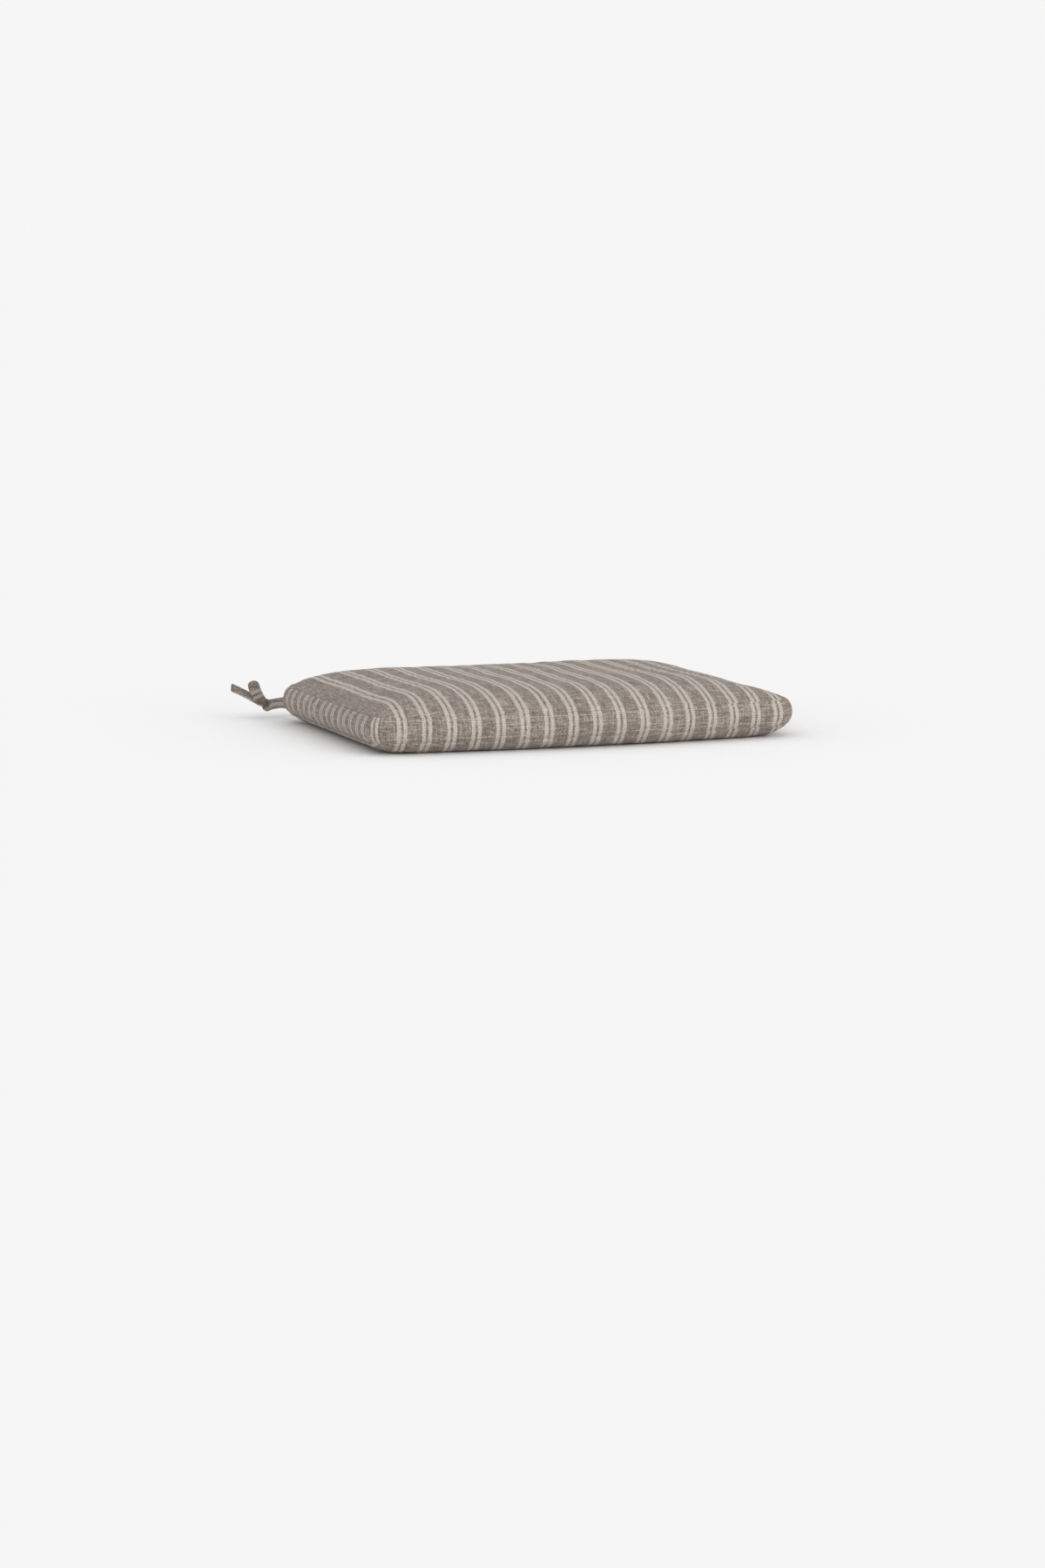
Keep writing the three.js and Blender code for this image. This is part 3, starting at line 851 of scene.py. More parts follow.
def cover_points():
    """The cover's target form: rings of the top and the base with the grids inside them,
    and rows of the boxing."""
    def level(z):
        return np.full(outline.count, z)

    def face(distances, height):
        rings = np.array([
            np.column_stack([outline.points * s, level(height(s, outline.points[:, 0] * s))])
            for s in 1 - distances / MEAN_REACH
        ])
        grid = inside_grid(rings[-1])
        x, y = grid[..., 0], grid[..., 1]
        grid[..., 2] = height(np.hypot(x, y) / outline.radius(x, y), x)
        return rings, grid

    top, top_grid = face(TOP_RINGS, crown_height)
    base, base_grid = face(BASE_RINGS, base_height)
    rows = np.array([
        np.column_stack([
            outline.points + outline.normals * swell(BOTTOM_SEAM + w), level(BOTTOM_SEAM + w),
        ])
        for w in BOXING_ROWS
    ])
    return {"top": top, "top_grid": top_grid, "base": base, "base_grid": base_grid, "rows": rows}


def with_border(ring, inner):
    """A grid of point indices: the inner ones, and those of the ring round them."""
    full = np.zeros((inner.shape[0] + 2, inner.shape[1] + 2), int)
    full[1:-1, 1:-1] = inner
    full[0], full[-1], full[:, 0], full[:, -1] = edges_of(ring)
    return full


def closed_mesh(form):
    """One closed mesh of the whole form, and for each part the index of each of its points."""
    index, points = {}, []

    def add(array):
        start = sum(len(p) for p in points)
        points.append(array.reshape(-1, 3))
        return start + np.arange(len(points[-1])).reshape(array.shape[:-1])

    index["rows"] = add(form["rows"])
    for name, seam in (("top", index["rows"][-1]), ("base", index["rows"][0])):
        index[name] = np.vstack([seam[None], add(form[name][1:])])
        index[name + "_grid"] = with_border(index[name][-1], add(form[name + "_grid"][1:-1, 1:-1]))
    faces = []
    for name in ("rows", "top", "top_grid", "base", "base_grid"):
        found = index_faces(index[name], closed=not name.endswith("_grid"))
        faces += turned_over(found) if name.startswith("base") else found
    return np.vstack(points), faces, index


SETTLING_FRAMES = 20
EVENING_STEPS = 40  # of averaging, which leave only what is wider than the wrinkles
MOST_MOVE = 0.6  # of any place of the cover, by the cloth simulation
SEAM_DEPTH_MM = 0.7
SEAM_REACH = 1.5
PUCKER = 0.16
STITCH_ROWS = (5.0, 24.0)  # heights above the bottom seam
STITCH_PRESS = 0.28


def normals_of(points, faces):
    mesh = bpy.data.meshes.new("normals")
    mesh.from_pydata(points.tolist(), [], faces)
    mesh.update()
    found = np.zeros(len(points) * 3, np.float32)
    mesh.vertex_normals.foreach_get("vector", found)
    bpy.data.meshes.remove(mesh)
    return found.reshape(-1, 3).astype(float)


def pressed_out(points, faces, held):
    """Where the cover's points go when the filling presses it out from its seams."""
    mesh = bpy.data.meshes.new("cover_cloth")
    mesh.from_pydata((points * MM).tolist(), [], faces)
    cover = bpy.data.objects.new("cover_cloth", mesh)
    scene = bpy.context.scene
    scene.collection.objects.link(cover)
    pins = cover.vertex_groups.new(name="held")
    for i, weight in enumerate(held):
        if weight > 0:
            pins.add([i], float(weight), "REPLACE")
    cloth = cover.modifiers.new("cloth", "CLOTH")
    settings = cloth.settings
    settings.quality = 5
    settings.mass = 0.25
    settings.tension_stiffness = settings.compression_stiffness = 18
    settings.shear_stiffness = 6
    settings.bending_stiffness = 0.4
    settings.use_pressure = True
    settings.uniform_pressure_force = 4
    settings.shrink_min = -0.012
    settings.vertex_group_mass = "held"
    settings.effector_weights.gravity = 0
    cloth.collision_settings.use_collision = False
    cloth.collision_settings.use_self_collision = False
    cloth.point_cache.frame_start = 1
    cloth.point_cache.frame_end = SETTLING_FRAMES
    for frame_number in range(1, SETTLING_FRAMES + 1):
        scene.frame_set(frame_number)
    graph = bpy.context.evaluated_depsgraph_get()
    moved = cover.evaluated_get(graph).to_mesh()
    found = np.zeros(len(points) * 3, np.float32)
    moved.vertices.foreach_get("co", found)
    scene.frame_set(1)
    bpy.data.objects.remove(cover)
    bpy.data.meshes.remove(mesh)
    return found.reshape(-1, 3).astype(float) / MM


def evened(values, faces):
    """The values averaged over their neighbourhoods on the mesh."""
    quads = np.array(faces)
    ends = np.vstack([quads[:, [k, (k + 1) % 4]] for k in range(4)])
    count = np.bincount(ends.ravel(), minlength=len(values))
    for _ in range(EVENING_STEPS):
        total = np.bincount(ends[:, 0], values[ends[:, 1]], len(values))
        total += np.bincount(ends[:, 1], values[ends[:, 0]], len(values))
        values = 0.5 * values + 0.5 * total / count
    return values


def waves(at, cycles, seed):
    """A smooth uneven wave of about unit height round the outline, closed on itself."""
    random = np.random.default_rng(seed)
    total = np.zeros_like(at)
    for n in range(6):
        count = int(cycles * random.uniform(0.7, 1.35))
        phase = random.uniform(0, 2 * math.pi)
        total += np.sin(2 * math.pi * count * at / outline.total + phase)
    return total / 2.4


def cover_form():
    """The cover as sewn and filled: pressed out between its seams, with puckers and the
    seams drawn in. Returns the parts of cover_points."""
    form = cover_points()
    points, faces, index = closed_mesh(form)
    away = np.full(len(points), 99.0)
    corner = outline.from_corner()
    along = np.zeros(len(points))
    for name, distances in (("top", TOP_RINGS), ("base", BASE_RINGS)):
        away[index[name]] = distances[:, None]
        along[index[name]] = outline.at[None, :]
    height_away = np.minimum(BOXING_ROWS, BOXING_HEIGHT - BOXING_ROWS)
    away[index["rows"]] = np.minimum(height_away[:, None], corner[None, :])
    along[index["rows"]] = outline.at[None, :]
    held = np.where(away < 0.1, 1.0, 0.0)
    held[index["base_grid"].ravel()] = 1.0
    moved = pressed_out(points, faces, held) - points
    outward = normals_of(points, faces)
    raised = (moved * outward).sum(1)
    raised = raised - evened(raised, faces)
    raised = MOST_MOVE * np.tanh(raised / MOST_MOVE) * np.clip(away / 3, 0, 1)
    points = points + outward * raised[:, None]
    normals = normals_of(points, faces)
    boxing = np.zeros(len(points), bool)
    boxing[index["rows"].ravel()] = True
    pucker = np.where(boxing, waves(along, 150, 3), waves(along, 128, 4))
    fade = np.exp(-(((away - 2.8) / 3.4) ** 2)) * (away < 98)
    drawn = SEAM_DEPTH_MM * np.exp(-((away / SEAM_REACH) ** 2))
    drawn *= 1 + 0.12 * waves(along, 90, 5)
    shift = PUCKER * pucker * fade - drawn
    undulation = 0.35 * np.sin(points[:, 0] / 37 + 1.3) * np.sin(points[:, 1] / 31 + 0.4)
    undulation += 0.22 * np.sin(points[:, 0] / 17 - points[:, 1] / 23 + 2.0)
    on_top = np.zeros(len(points), bool)
    on_top[index["top"][3:].ravel()] = True
    on_top[index["top_grid"].ravel()] = True
    shift = shift + np.where(on_top, undulation, 0)
    front = outline.side == 1
    for row in STITCH_ROWS:
        r = int(np.argmin(np.abs(BOXING_ROWS - row)))
        ids = index["rows"][r][front]
        shift[ids] -= STITCH_PRESS * np.clip(corner[front] / 4, 0, 1)
    points = points + normals * shift[:, None]
    points[:, 2] = np.maximum(points[:, 2], 0.05)
    points[:, 1] += SHIFT_Y
    return {name: points[ids] for name, ids in index.items()}


form = cover_form()


# ---------------------------------------------------------------- cloth coordinates

def along_profile(plan, reach, height):
    """Length over the crown to each place of the plan, along the middle of the cover."""
    fine = np.linspace(0, reach, 400)
    z = height(fine / reach)
    run = arc_length(np.column_stack([fine, z]))
    return np.sign(plan) * np.interp(np.abs(plan), fine, run)


def face_cloth(points, height, low, high):
    """Stripe count and lengths on the top or the base. No stripe lies past low or high."""
    x, y = points[:, 0], points[:, 1] - SHIFT_Y
    u = along_profile(x, SEAM_WIDTH / 2, height)
    v = along_profile(y, SEAM_DEPTH / 2, height)
    stripe = np.clip((x - FIRST_STRIPE_X) / STRIPE_PITCH, low, high)
    return np.column_stack([stripe, u, v])


def face_piece(name, key, height, turned, low, high, replaced):
    rings, inner = form[key], form[key + "_grid"][1:-1, 1:-1]
    points = np.vstack([rings.reshape(-1, 3), inner.reshape(-1, 3)])
    ring_ids = np.arange(rings[..., 0].size).reshape(rings.shape[:2])
    inner_ids = ring_ids.size + np.arange(inner[..., 0].size).reshape(inner.shape[:2])
    faces = index_faces(ring_ids, closed=True)
    faces += index_faces(with_border(ring_ids[-1], inner_ids))
    made = piece(name, points, turned_over(faces) if turned else faces, TICKING,
                 replaced=replaced, cloth=face_cloth(points, height, low, high), thickness=CLOTH,
                 subdivisions=1)
    return made


# Middles of the double stripes along the left boxing, from the front corner to the back one
SIDE_STRIPES = np.array([
    2.75, 4.7, 7.4, 9.8, 11.9, 14.5, 16.5, 18.8, 21.6, 23.7, 25.8, 28.1, 30.7, 32.6, 34.6, 36.95,
]) * 10 - 176.45
SIDE_PITCH = 22.8
CORNER_STRIPE = 4.0  # from the front left corner seam to the stripe on the corner
RIGHT_FIRST = 17.0  # from the front right corner seam to the first stripe
BEFORE_CORNER = 8.0  # a place past the corner seam, which the counts run on to
BACK_COUNT = 8.0  # at the middle of the back


def strip_columns(n):
    """The columns of one boxing, from its first corner seam to its second, and the length
    along the seam to each of them."""
    first = int(np.argmax(outline.side == n))
    columns = (first + np.arange((outline.side == n).sum() + 1)) % outline.count
    at = np.append(outline.at[outline.side == n], outline.corner_at[n + 1])
    return columns, at


def jog(x):
    """How far the front boxing's stripes stand off those of the top panel."""
    return -1.7 * np.clip((x - 60) / 110, 0, 1) ** 1.5 + 0.35 * np.sin(x / 41)


def boxing_stripes(n, at):
    """Stripe count at each length along one boxing."""
    middle = (at[0] + at[-1]) / 2
    if n == 1:
        s = at - middle
        return np.clip((s - jog(s) - FIRST_STRIPE_X) / STRIPE_PITCH, -0.5, STRIPE_COUNT - 0.5)
    if n == 3:
        return (middle - at) / STRIPE_PITCH + BACK_COUNT
    # Measured from the front corner seam; the first stripe lies on the corner itself
    corner = outline.corner_at[1] if n == 0 else outline.corner_at[2]
    from_front = np.abs(at - corner)
    quarter = CORNER_RADIUS * math.pi / 4
    front_y = -SEAM_DEPTH / 2 + FRONT_BOW + CORNER_RADIUS
    places = SIDE_STRIPES - SHIFT_Y - front_y + quarter
    places = np.concatenate([[CORNER_STRIPE], places])
    if n == 2:
        places = RIGHT_FIRST + SIDE_PITCH * np.arange(len(places))
    counts = np.arange(-1.0, len(places) + 1)
    counts[0] = -(places[0] + BEFORE_CORNER) / SIDE_PITCH
    places = np.concatenate([[-BEFORE_CORNER], places, [places[-1] + SIDE_PITCH]])
    return np.interp(from_front, places, counts)


def boxing_piece(name, n, replaced):
    columns, at = strip_columns(n)
    rise = arc_length(np.column_stack([swell(BOTTOM_SEAM + BOXING_ROWS), BOXING_ROWS]))
    made = sheet(name, form["rows"][:, columns], (boxing_stripes(n, at), at, rise[:, None]),
                 TICKING, replaced, CLOTH)
    return made


face_piece("cover_top", "top", crown_height, False, -0.5, STRIPE_COUNT - 0.5, ["top_panel"])
face_piece("cover_base", "base", base_height, True, -1.5, STRIPE_COUNT + 0.5, ["bottom_panel"])
boxing_piece("cover_left_boxing", 0, ["left_boxing"])
boxing_piece("cover_front_boxing", 1, ["front_boxing"])
boxing_piece("cover_right_boxing", 2, ["right_boxing"])


# ---------------------------------------------------------------- boxing surface, for what is on it

class BoxingSurface:
    """Places on one boxing by length along the seam and height above the bottom seam."""

    def __init__(self, n):
        self.columns, self.at = strip_columns(n)
        self.rows = form["rows"][:, self.columns]

    def __call__(self, at, height):
        at, height = np.broadcast_arrays(np.asarray(at, float), np.asarray(height, float))
        c = np.interp(at, self.at, np.arange(len(self.at)))
        r = np.interp(height, BOXING_ROWS, np.arange(len(BOXING_ROWS)))
        c0 = np.clip(np.floor(c).astype(int), 0, len(self.at) - 2)
        r0 = np.clip(np.floor(r).astype(int), 0, len(BOXING_ROWS) - 2)
        fc, fr = (c - c0)[..., None], (r - r0)[..., None]
        g = self.rows
        return (
            (1 - fc) * (1 - fr) * g[r0, c0] + fc * (1 - fr) * g[r0, c0 + 1]
            + (1 - fc) * fr * g[r0 + 1, c0] + fc * fr * g[r0 + 1, c0 + 1]
        )

    def frame(self, at, height):
        """(point, along, outward) at each place."""
        along = unit(self(at + 1.5, height) - self(at - 1.5, height))
        up = unit(self(at, height + 2.0) - self(at, height - 2.0))
        return self(at, height), along, unit(np.cross(along, up))


def stitches(name, surface, at, height, length, radius, proud, replaced=()):
    """A row of thread stitches that dip into the cloth at both ends."""
    rings = np.array([-0.5, -0.36, -0.12, 0.12, 0.36, 0.5])
    dips = np.array([-0.75, -0.1, 0.0, 0.0, -0.1, -0.75])
    sizes = np.array([0.55, 0.9, 1.0, 1.0, 0.9, 0.55])
    sides = 8
    turn = np.linspace(0, 2 * math.pi, sides, endpoint=False)
    random = np.random.default_rng(len(name))
    points, faces, cloth = [], [], []
    centre, along, out = surface.frame(at, np.broadcast_to(height, at.shape))
    for n in range(len(at)):
        a = along[n]
        up = np.cross(out[n], a)
        lift = proud + random.uniform(-0.06, 0.06)
        drift = up * random.uniform(-0.12, 0.12)
        start = len(points) * sides
        for r, dip, size in zip(rings, dips, sizes):
            middle = centre[n] + a * r * length + out[n] * (lift + dip * radius) + drift
            ring = np.outer(np.cos(turn), out[n]) + np.outer(np.sin(turn), up)
            points.append(middle + ring * radius * size)
            cloth.append(np.column_stack([
                np.full(sides, at[n] + r * length), turn, np.full(sides, n)
            ]))
        faces += tube_faces(len(rings), sides, start)
    return piece(name, np.vstack(points), faces, THREAD, replaced=replaced,
                 cloth=np.vstack(cloth))


TOPSTITCH_PITCH = 3.9
TOPSTITCH = (2.9, 0.32, 0.16)  # length, radius, and how far the thread's middle stands proud


def topstitching():
    surface = BoxingSurface(1)
    at = np.arange(surface.at[0] + 3.5, surface.at[-1] - 2.5, TOPSTITCH_PITCH)
    stitches("topstitch_upper_row", surface, at, STITCH_ROWS[1], *TOPSTITCH,
             ["topstitch_upper"])
    stitches("topstitch_lower_row", surface, at + 1.4, STITCH_ROWS[0], *TOPSTITCH,
             ["topstitch_lower"])


topstitching()


# ---------------------------------------------------------------- zip

ZIP_OPENING = 8
FOLD_REACH = 3.6  # of the fold along the zip, in mm from its edge
ZIP_STITCH_PITCH = 3.3
ZIP_STITCH = (2.6, 0.3, -0.08)
TAPE_BEHIND = 1.6
TAPE_THICKNESS = 0.6
TAPE_HEIGHT = 12
COIL_HEIGHT = 2.2
COIL_THICKNESS = 2.0
COIL_PART = 1.0
COIL_PITCH = 1.5


def back_boxings():
    """The two strips of the back boxing, folded under along the zip and meeting past it."""
    surface = BoxingSurface(3)
    at = surface.at
    x = np.abs(outline.points[surface.columns][:, 0])
    opening = np.interp(
        x, [ZIP_HALF - 3, ZIP_HALF + 1, ZIP_HALF + 3.5], [ZIP_OPENING / 2, 0.7, 0.1]
    )
    stripe = boxing_stripes(3, at)
    past_fold = np.array([0.28, 0.55, 0.78, 0.9, 1.0])
    folds = np.array([0, 0.25, 0.8, 1.7, 2.6, FOLD_REACH])
    share = np.concatenate([folds, FOLD_REACH + past_fold * (10 - FOLD_REACH)])[:, None] / 10
    tuck = np.array([1.0, 0.35, 0.06, 0.1, 0.22, 0.04, *np.zeros(len(past_fold))])[:, None]
    ripple = 0.10 * np.sin(at / 3.1) * np.sin(at / 13.7 + 1) * (share < 0.5)
    _, _, out = surface.frame(at, np.full(len(at), BOXING_HEIGHT / 2))
    inside = at[x < ZIP_HALF + 1]
    rows = np.arange(inside[0], inside[-1], ZIP_STITCH_PITCH)
    for which, sense, shift in (("upper", 1, 0.0), ("lower", -1, 1.1)):
        edge = BOXING_HEIGHT / 2 + sense * opening
        seam = BOXING_HEIGHT if sense > 0 else 0
        height = edge + (seam - edge) * share
        place = surface(at[None, :], height) - out[None] * (tuck + ripple)[..., None]
        made = sheet(f"cover_back_{which}", place, (stripe + shift / STRIPE_PITCH, at, height),
                     TICKING, [f"back_boxing_{which}"], CLOTH, turned=sense < 0)
        stitches(f"zip_stitch_{which}", surface, rows,
                 BOXING_HEIGHT / 2 + sense * (ZIP_OPENING / 2 + 2.6), *ZIP_STITCH)


def zip_tapes():
    surface = BoxingSurface(3)
    x = outline.points[surface.columns][:, 0]
    keep = np.abs(x) < ZIP_HALF + 6
    at = surface.at[keep]
    _, _, out = surface.frame(at, np.full(len(at), BOXING_HEIGHT / 2))
    offsets = np.array([COIL_PART / 2, 1.2, 2.2, 3.2, 4.4, 6, 8, 10, TAPE_HEIGHT])
    reach = np.repeat(offsets[:, None], len(at), axis=1)
    # The tapes meet past the ends of the coils
    reach[0] = np.where(np.abs(x[keep]) < ZIP_HALF - 4, COIL_PART / 2, 0.05)
    corded = np.where(offsets < 3.3, 0.12 * np.sin(offsets * 3), 0)[:, None, None]
    for which, sense in (("upper", 1), ("lower", -1)):
        height = BOXING_HEIGHT / 2 + sense * reach
        place = surface(at[None, :], height) + out[None] * (corded - TAPE_BEHIND)
        sheet(f"zip_tape_{which}_weave", place, (0, at, height), TAPE,
              [f"zip_tape_{which}"], TAPE_THICKNESS, turned=sense < 0)


def coil_element():
    """One turn of nylon coil: a rounded bar with a fuller head, along z."""
    # Each section: its height, and half its size along and through the zip
    sections = [
        (0.0, 0.30, 0.62), (0.18, 0.44, 0.86), (0.7, 0.42, 0.94), (1.3, 0.40, 0.94),
        (1.8, 0.50, 0.96), (2.15, 0.50, 0.86), (2.4, 0.30, 0.55),
    ]
    sides = 8
    turn = np.linspace(0, 2 * math.pi, sides, endpoint=False) + math.pi / 8
    points = [
        np.column_stack([half_x * np.cos(turn), half_y * np.sin(turn), np.full(sides, z)])
        for z, half_x, half_y in sections
    ]
    return np.vstack(points), tube_faces(len(sections), sides)


def zip_coils():
    shape, quads = coil_element()
    low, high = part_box("zip_coil_upper")
    half = high.x / MM
    out = (low.y + high.y) / 2 / MM
    for which, sense in (("upper", 1), ("lower", -1)):
        first = -half + (0.6 if sense > 0 else 0.6 + COIL_PITCH / 2)
        root = MID_HEIGHT + sense * (COIL_PART / 2 + COIL_HEIGHT)
        turned = turned_over(quads) if sense > 0 else quads
        points, faces = merged([
            (shape * [1, 1, -sense] + [x, out, root], turned)
            for x in np.arange(first, half - 0.5, COIL_PITCH)
        ])
        piece(f"zip_coil_{which}_turns", points, faces, NYLON,
              replaced=[f"zip_coil_{which}"])


def rounded_prism(outline_points, depth_low, depth_high):
    """A closed prism: outline in two axes, from one depth to another along the third."""
    n = len(outline_points)
    low = [(a, depth_low, b) for a, b in outline_points]
    high = [(a, depth_high, b) for a, b in outline_points]
    faces = [tuple(range(n)), tuple(range(n, 2 * n))[::-1]]
    faces += [(i, n + i, n + (i + 1) % n, (i + 1) % n) for i in range(n)]
    return np.array(low + high, float), faces


def zip_stops():
    """The two clips at the ends of the coils, a little narrower in the middle."""
    for node in ("zip_stop_left", "zip_stop_right"):
        low, high = (np.array(c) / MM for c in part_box(node))
        x0, x1, z0, z1 = low[0], high[0], low[2], high[2]
        middle, waist = (x0 + x1) / 2, 0.35
        ring = [
            (x0, z0), (x0 + 1, z0), (middle, z0 + waist), (x1 - 1, z0),
            (x1, z0), (x1, z1), (x1 - 1, z1), (middle, z1 - waist), (x0 + 1, z1), (x0, z1),
        ]
        points, faces = rounded_prism(ring, low[1], high[1])
        piece(f"{node}_clip", points, turned_over(faces), ZINC,
              replaced=[node], bevel=0.35)


back_boxings()
zip_tapes()
zip_coils()
zip_stops()


# ---------------------------------------------------------------- slider and pull

SLIDER_LENGTH = 11
SLIDER_WIDTH = 7.6
PLATE = 1.0
COIL_FACE = BOXING_SWELL - CLOTH + COIL_THICKNESS
PLATE_FACE = COIL_FACE + 0.3 + PLATE
BAR_HALF_DIAGONAL = math.hypot(1, 1.2) / 2
HINGE_OUT = PLATE_FACE + BAR_HALF_DIAGONAL + 0.3
BAIL_TOP = HINGE_OUT + BAR_HALF_DIAGONAL + 0.3 + 0.8
slider_low, slider_high = (np.array(c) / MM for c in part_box("zip_slider"))
SLIDER_X = (slider_low[0] + slider_high[0]) / 2


def plate_outline():
    """The slider's plate seen from outside: wide shoulders where the tapes part, and a
    narrower tail with round corners where the closed chain runs out."""
    half, reach = SLIDER_LENGTH / 2, SLIDER_WIDTH / 2
    upper = [
        (-half, 2.3), (-half + 0.5, 2.9), (-half + 1.6, 3.15), (-0.4, 3.35), (1.6, 3.8),
        (half - 1.6, 3.8), (half - 0.5, 3.2), (half - 0.1, 2.1), (half, 0.9),
    ]
    return upper + [(a, -b) for a, b in reversed(upper)]


def slider_body():
    """Two plates, outside and inside the coils, and the neck that joins them."""
    inner_face = swell(MID_HEIGHT + SLIDER_WIDTH / 2) - CLOTH - 0.6 - TAPE_THICKNESS - 0.3
    neck = [(2.2, -0.2), (5.2, -0.2), (5.2, 0.2), (2.2, 0.2)]
    points, faces = merged([
        rounded_prism(plate_outline(), PLATE_FACE - PLATE, PLATE_FACE),
        rounded_prism(plate_outline(), inner_face - PLATE, inner_face),
        rounded_prism(neck, inner_face - 0.4, PLATE_FACE - 0.4),
    ])
    points = points + [SLIDER_X, BACK_Y, MID_HEIGHT]
    piece("zip_slider_body", points, turned_over(faces), ZINC, body="slider",
          replaced=["zip_slider"], bevel=0.22)


def bail():
    """A flat loop over the pull's bar, its feet cast into the plate."""
    middle = BAR_HALF_DIAGONAL + 0.8
    foot, shoulder, rise = PLATE_FACE - 0.5, BAIL_TOP - 1.3, 0.9
    arch = np.linspace(math.pi, 0, 13)
    path = np.vstack([
        [(-middle, foot)],
        np.column_stack([np.cos(arch) * middle, shoulder + np.sin(arch) * rise]),
        [(middle, foot)],
    ])
    along = unit(np.gradient(path, axis=0))
    section = [
        (-0.4, -0.6), (-0.2, -0.8), (0.2, -0.8), (0.4, -0.6), (0.4, 0.6), (0.2, 0.8),
        (-0.2, 0.8), (-0.4, 0.6),
    ]
    points = [
        (x - slope_y * t, y + slope_x * t, z)
        for (x, y), (slope_x, slope_y) in zip(path, along) for t, z in section
    ]
    points = np.array(points) + [SLIDER_X, BACK_Y, MID_HEIGHT]
    piece("zip_slider_bail", points, tube_faces(len(path), len(section)), ZINC,
          body="slider")


# The pull, in mm from its bar's middle towards its tip
PULL_LENGTH = 20.0
PULL_HALF = 3.0  # half its width at the tip
PULL_BAR = 0.6
PULL_SLOT = 4.4
PULL_RAIL = 1.3
PULL_TIP = PULL_LENGTH - PULL_BAR - PULL_HALF
LANES = 5  # points across each half of the pull's face
EDGE_ROUNDING = 0.16


def pull_outer_half(t):
    """Half width at a distance from the bar."""
    if t > PULL_TIP:
        return math.sqrt(max(PULL_HALF**2 - (t - PULL_TIP) ** 2, 0.0))
    if t < -PULL_BAR + 0.7:
        return PULL_HALF - 0.7 + math.sqrt(max(0.7**2 - (t + PULL_BAR - 0.7) ** 2, 0))
    return PULL_HALF - 0.55 * math.exp(-(((t - 8.5) / 2.6) ** 2))


def pull_inner_half(t):
    """Half width of the slot at a distance from the bar, 0 past its ends."""
    if t <= PULL_BAR or t >= PULL_BAR + PULL_SLOT:
        return 0.0
    edge = min(t - PULL_BAR, PULL_BAR + PULL_SLOT - t)
    rounding = 0.6
    full = PULL_HALF - PULL_RAIL
    if edge < rounding:
        return full - rounding + math.sqrt(rounding**2 - (rounding - edge) ** 2)
    return full


def pull_ring(x, sense):
    """The upper or the lower half of the pull's section at a place along it."""
    inner, outer = pull_inner_half(-x), max(pull_outer_half(-x), 0.02)
    depth = 0.5 - 0.16 * math.exp(-(((-x - 14.5) / 2.6) ** 4))
    depths = [depth] * (LANES - 1) + [depth - EDGE_ROUNDING]
    face = [
        (x, d, (inner + (outer - inner) * k / (LANES - 1)) * sense) for k, d in enumerate(depths)
    ]
    return face + [(x, -d, z) for x, d, z in reversed(face)]


def pull_half(stations, sense):
    """Half of the pull. Where there is no slot it is open to the other half."""
    size = 2 * LANES
    points = [p for x in stations for p in pull_ring(x, sense)]
    faces = []
    for r in range(len(stations) - 1):
        joined = pull_inner_half(-stations[r]) == 0 and pull_inner_half(-stations[r + 1]) == 0
        for k in range(size - 1 if joined else size):
            a, b = r * size + k, r * size + (k + 1) % size
            faces.append((a, b, b + size, a + size))
    end = (len(stations) - 1) * size
    faces.append(tuple(range(size))[::-1])
    faces.append(tuple(range(end, end + size)))
    return points, faces if sense > 0 else turned_over(faces)


def pull_tab():
    """A flat tab with a slot round the bail, a waist and a dished grip."""
    slot_places = np.array([0, 0.001, 0.1, 0.3, 0.6, 1.2, 2.2, 3.2, 3.8, 4.1, 4.3, 4.399, 4.4])
    tip_places = PULL_HALF * np.sin(np.linspace(0, math.pi / 2, 9))
    stations = np.unique(np.concatenate([
        PULL_BAR - np.array([0, 0.1, 0.3, 0.7]), -PULL_BAR - slot_places,
        -np.linspace(5.4, 16.4, 16), -(PULL_TIP + tip_places),
    ]))[::-1]
    points, faces = merged([pull_half(stations, sense) for sense in (1, -1)])
    points, same = np.unique(np.round(points, 4), axis=0, return_inverse=True)
    same = same.ravel()
    faces = [tuple(int(same[i]) for i in f) for f in faces]
    points = points + [SLIDER_X, BACK_Y + HINGE_OUT, MID_HEIGHT]
    piece("zip_pull_tab", points, faces, ZINC, body="pull", replaced=["zip_pull"])


slider_body()
bail()
pull_tab()


# ---------------------------------------------------------------- filling

CLEAR = 3.2  # from the cover to the wadding
BATT = 7.0
LAYER_SHARES = np.array([1.0, 0.985, 0.965, 0.93, 0.88, 0.8, 0.7, 0.55, 0.4, 0.2, 0.03])


def filling_layer(name, outermost, upper, lower, material, node, rough):
    """A closed layer over a share of the outline, with an uneven surface."""
    shares = outermost * LAYER_SHARES
    rim = outline.points[::2]
    random = np.random.default_rng(11)
    rings = []
    for height, order in ((lower, shares[::-1]), (upper, shares)):
        for s in order:
            z = height(s, rim[:, 0] * s) + rough * random.uniform(-1, 1, len(rim))
            rings.append(np.column_stack([rim * s, z]))
    points = np.vstack(rings) + [0, SHIFT_Y, 0]
    faces = tube_faces(len(rings), len(rim))
    made = piece(name, points, faces, material, replaced=[node])


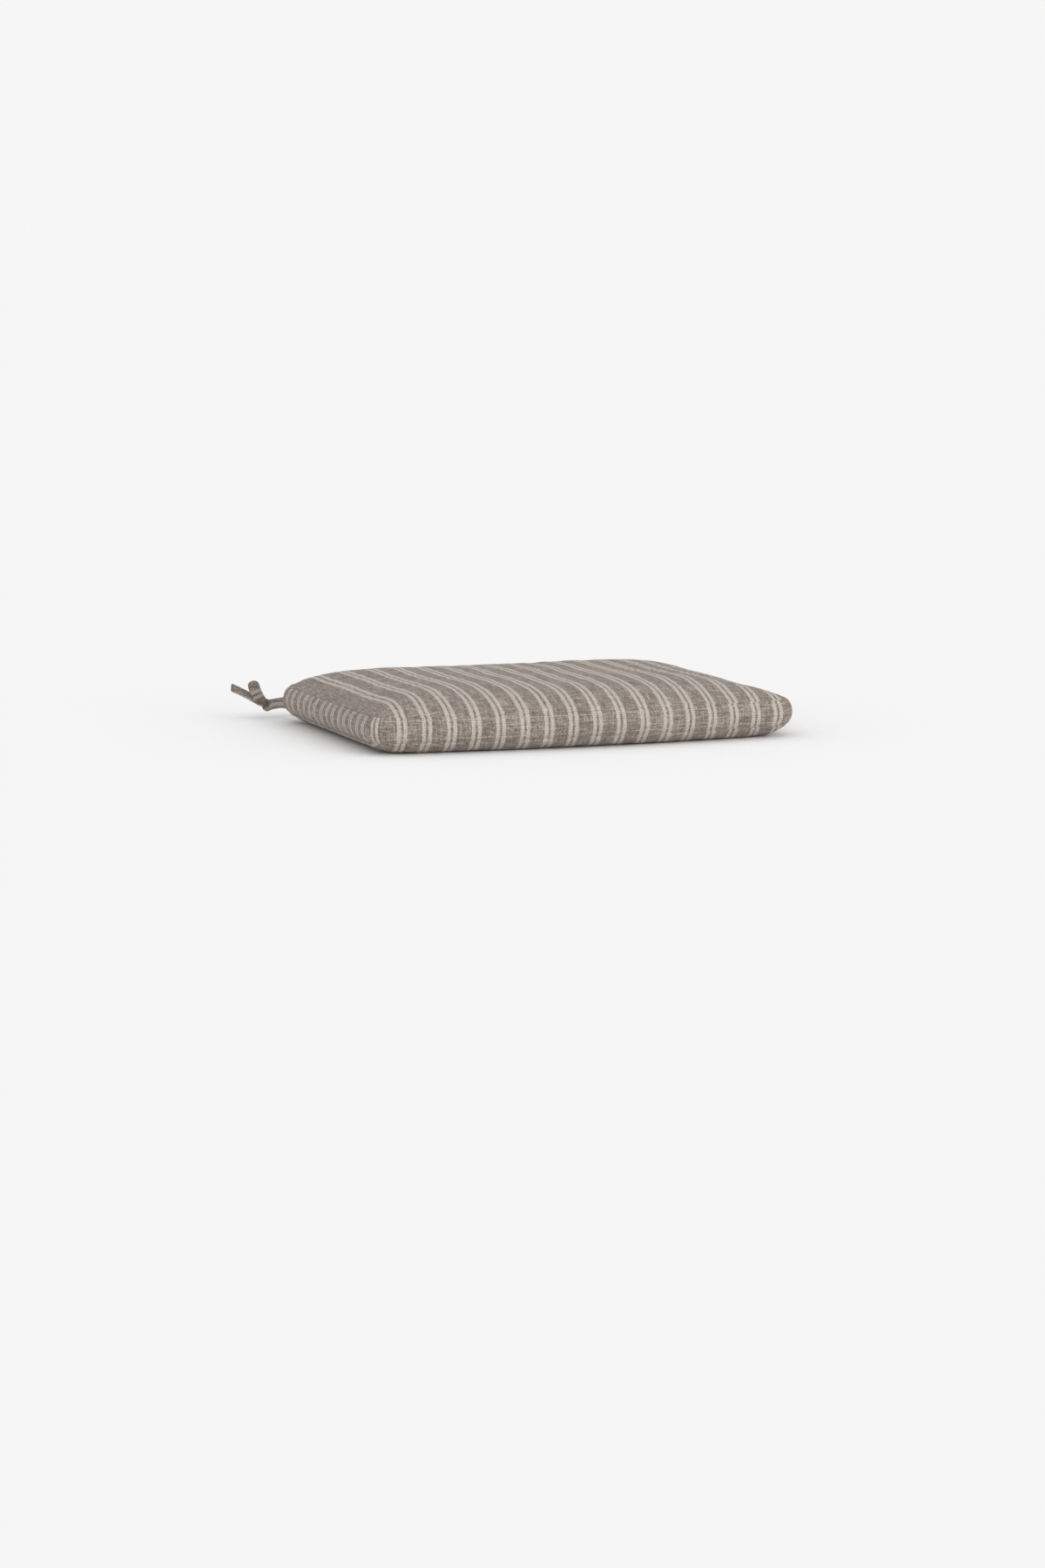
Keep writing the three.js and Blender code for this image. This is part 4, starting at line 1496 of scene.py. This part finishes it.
def filling():
    def crown(drop):
        return lambda s, x: crown_height(s, x) - drop

    def base(rise):
        return lambda s, x: base_height(s) + rise

    filling_layer("foam_block", 0.955, crown(CLEAR + BATT + 1), base(CLEAR + BATT),
                  FOAM, "foam_core", 0.15)
    filling_layer("wadding_top_batt", 0.97, crown(CLEAR), crown(CLEAR + BATT),
                  WADDING, "wadding_top", 0.3)
    filling_layer("wadding_base_batt", 0.97, base(CLEAR - 1.2 + BATT), base(CLEAR - 1.2),
                  WADDING, "wadding_bottom", 0.3)


filling()


# ---------------------------------------------------------------- floor and light

SKY = 0.925
FLOOR = 0.895
FLOOR_REACH = 60  # in metres
KEY_STRENGTH = 1.2
KEY_SPREAD = 40  # in degrees
KEY_FROM = (0.45, -1.0, 0.30)


def studio_floor():
    shader = Shader("pale_floor", Roughness=1.0, Specular_IOR_Level=0.0)
    speckle = shader.noise(shader.position(), scale=3.0)
    shader.finish(shader.ramp(speckle, [(0.0, (FLOOR,) * 3), (1.0, (FLOOR * 1.004,) * 3)]))
    mesh = bpy.data.meshes.new("floor")
    corners = [(-1, -1, 0), (1, -1, 0), (1, 1, 0), (-1, 1, 0)]
    mesh.from_pydata([(x * FLOOR_REACH, y * FLOOR_REACH, z) for x, y, z in corners],
                     [], [(0, 1, 2, 3)])
    mesh.materials.append(shader.material)
    floor = bpy.data.objects.new("floor", mesh)
    floor.location.z = -0.0003
    bpy.context.scene.collection.objects.link(floor)


def key_light():
    data = bpy.data.lights.new("key", "SUN")
    data.energy = KEY_STRENGTH
    data.angle = math.radians(KEY_SPREAD)
    lamp = bpy.data.objects.new("key", data)
    back = unit(KEY_FROM)
    side = unit(np.cross([0, 0, 1.0], back))
    lamp.rotation_euler = Matrix(
        np.column_stack([side, np.cross(back, side), back]).tolist()
    ).to_euler()
    bpy.context.scene.collection.objects.link(lamp)


def studio():
    scene = bpy.context.scene
    scene.view_settings.view_transform = "Standard"
    studio_floor()
    world = bpy.data.worlds.new("studio")
    world.use_nodes = True
    world.node_tree.nodes["Background"].inputs["Color"].default_value = (*(SKY,) * 3, 1)
    scene.world = world
    key_light()


studio()
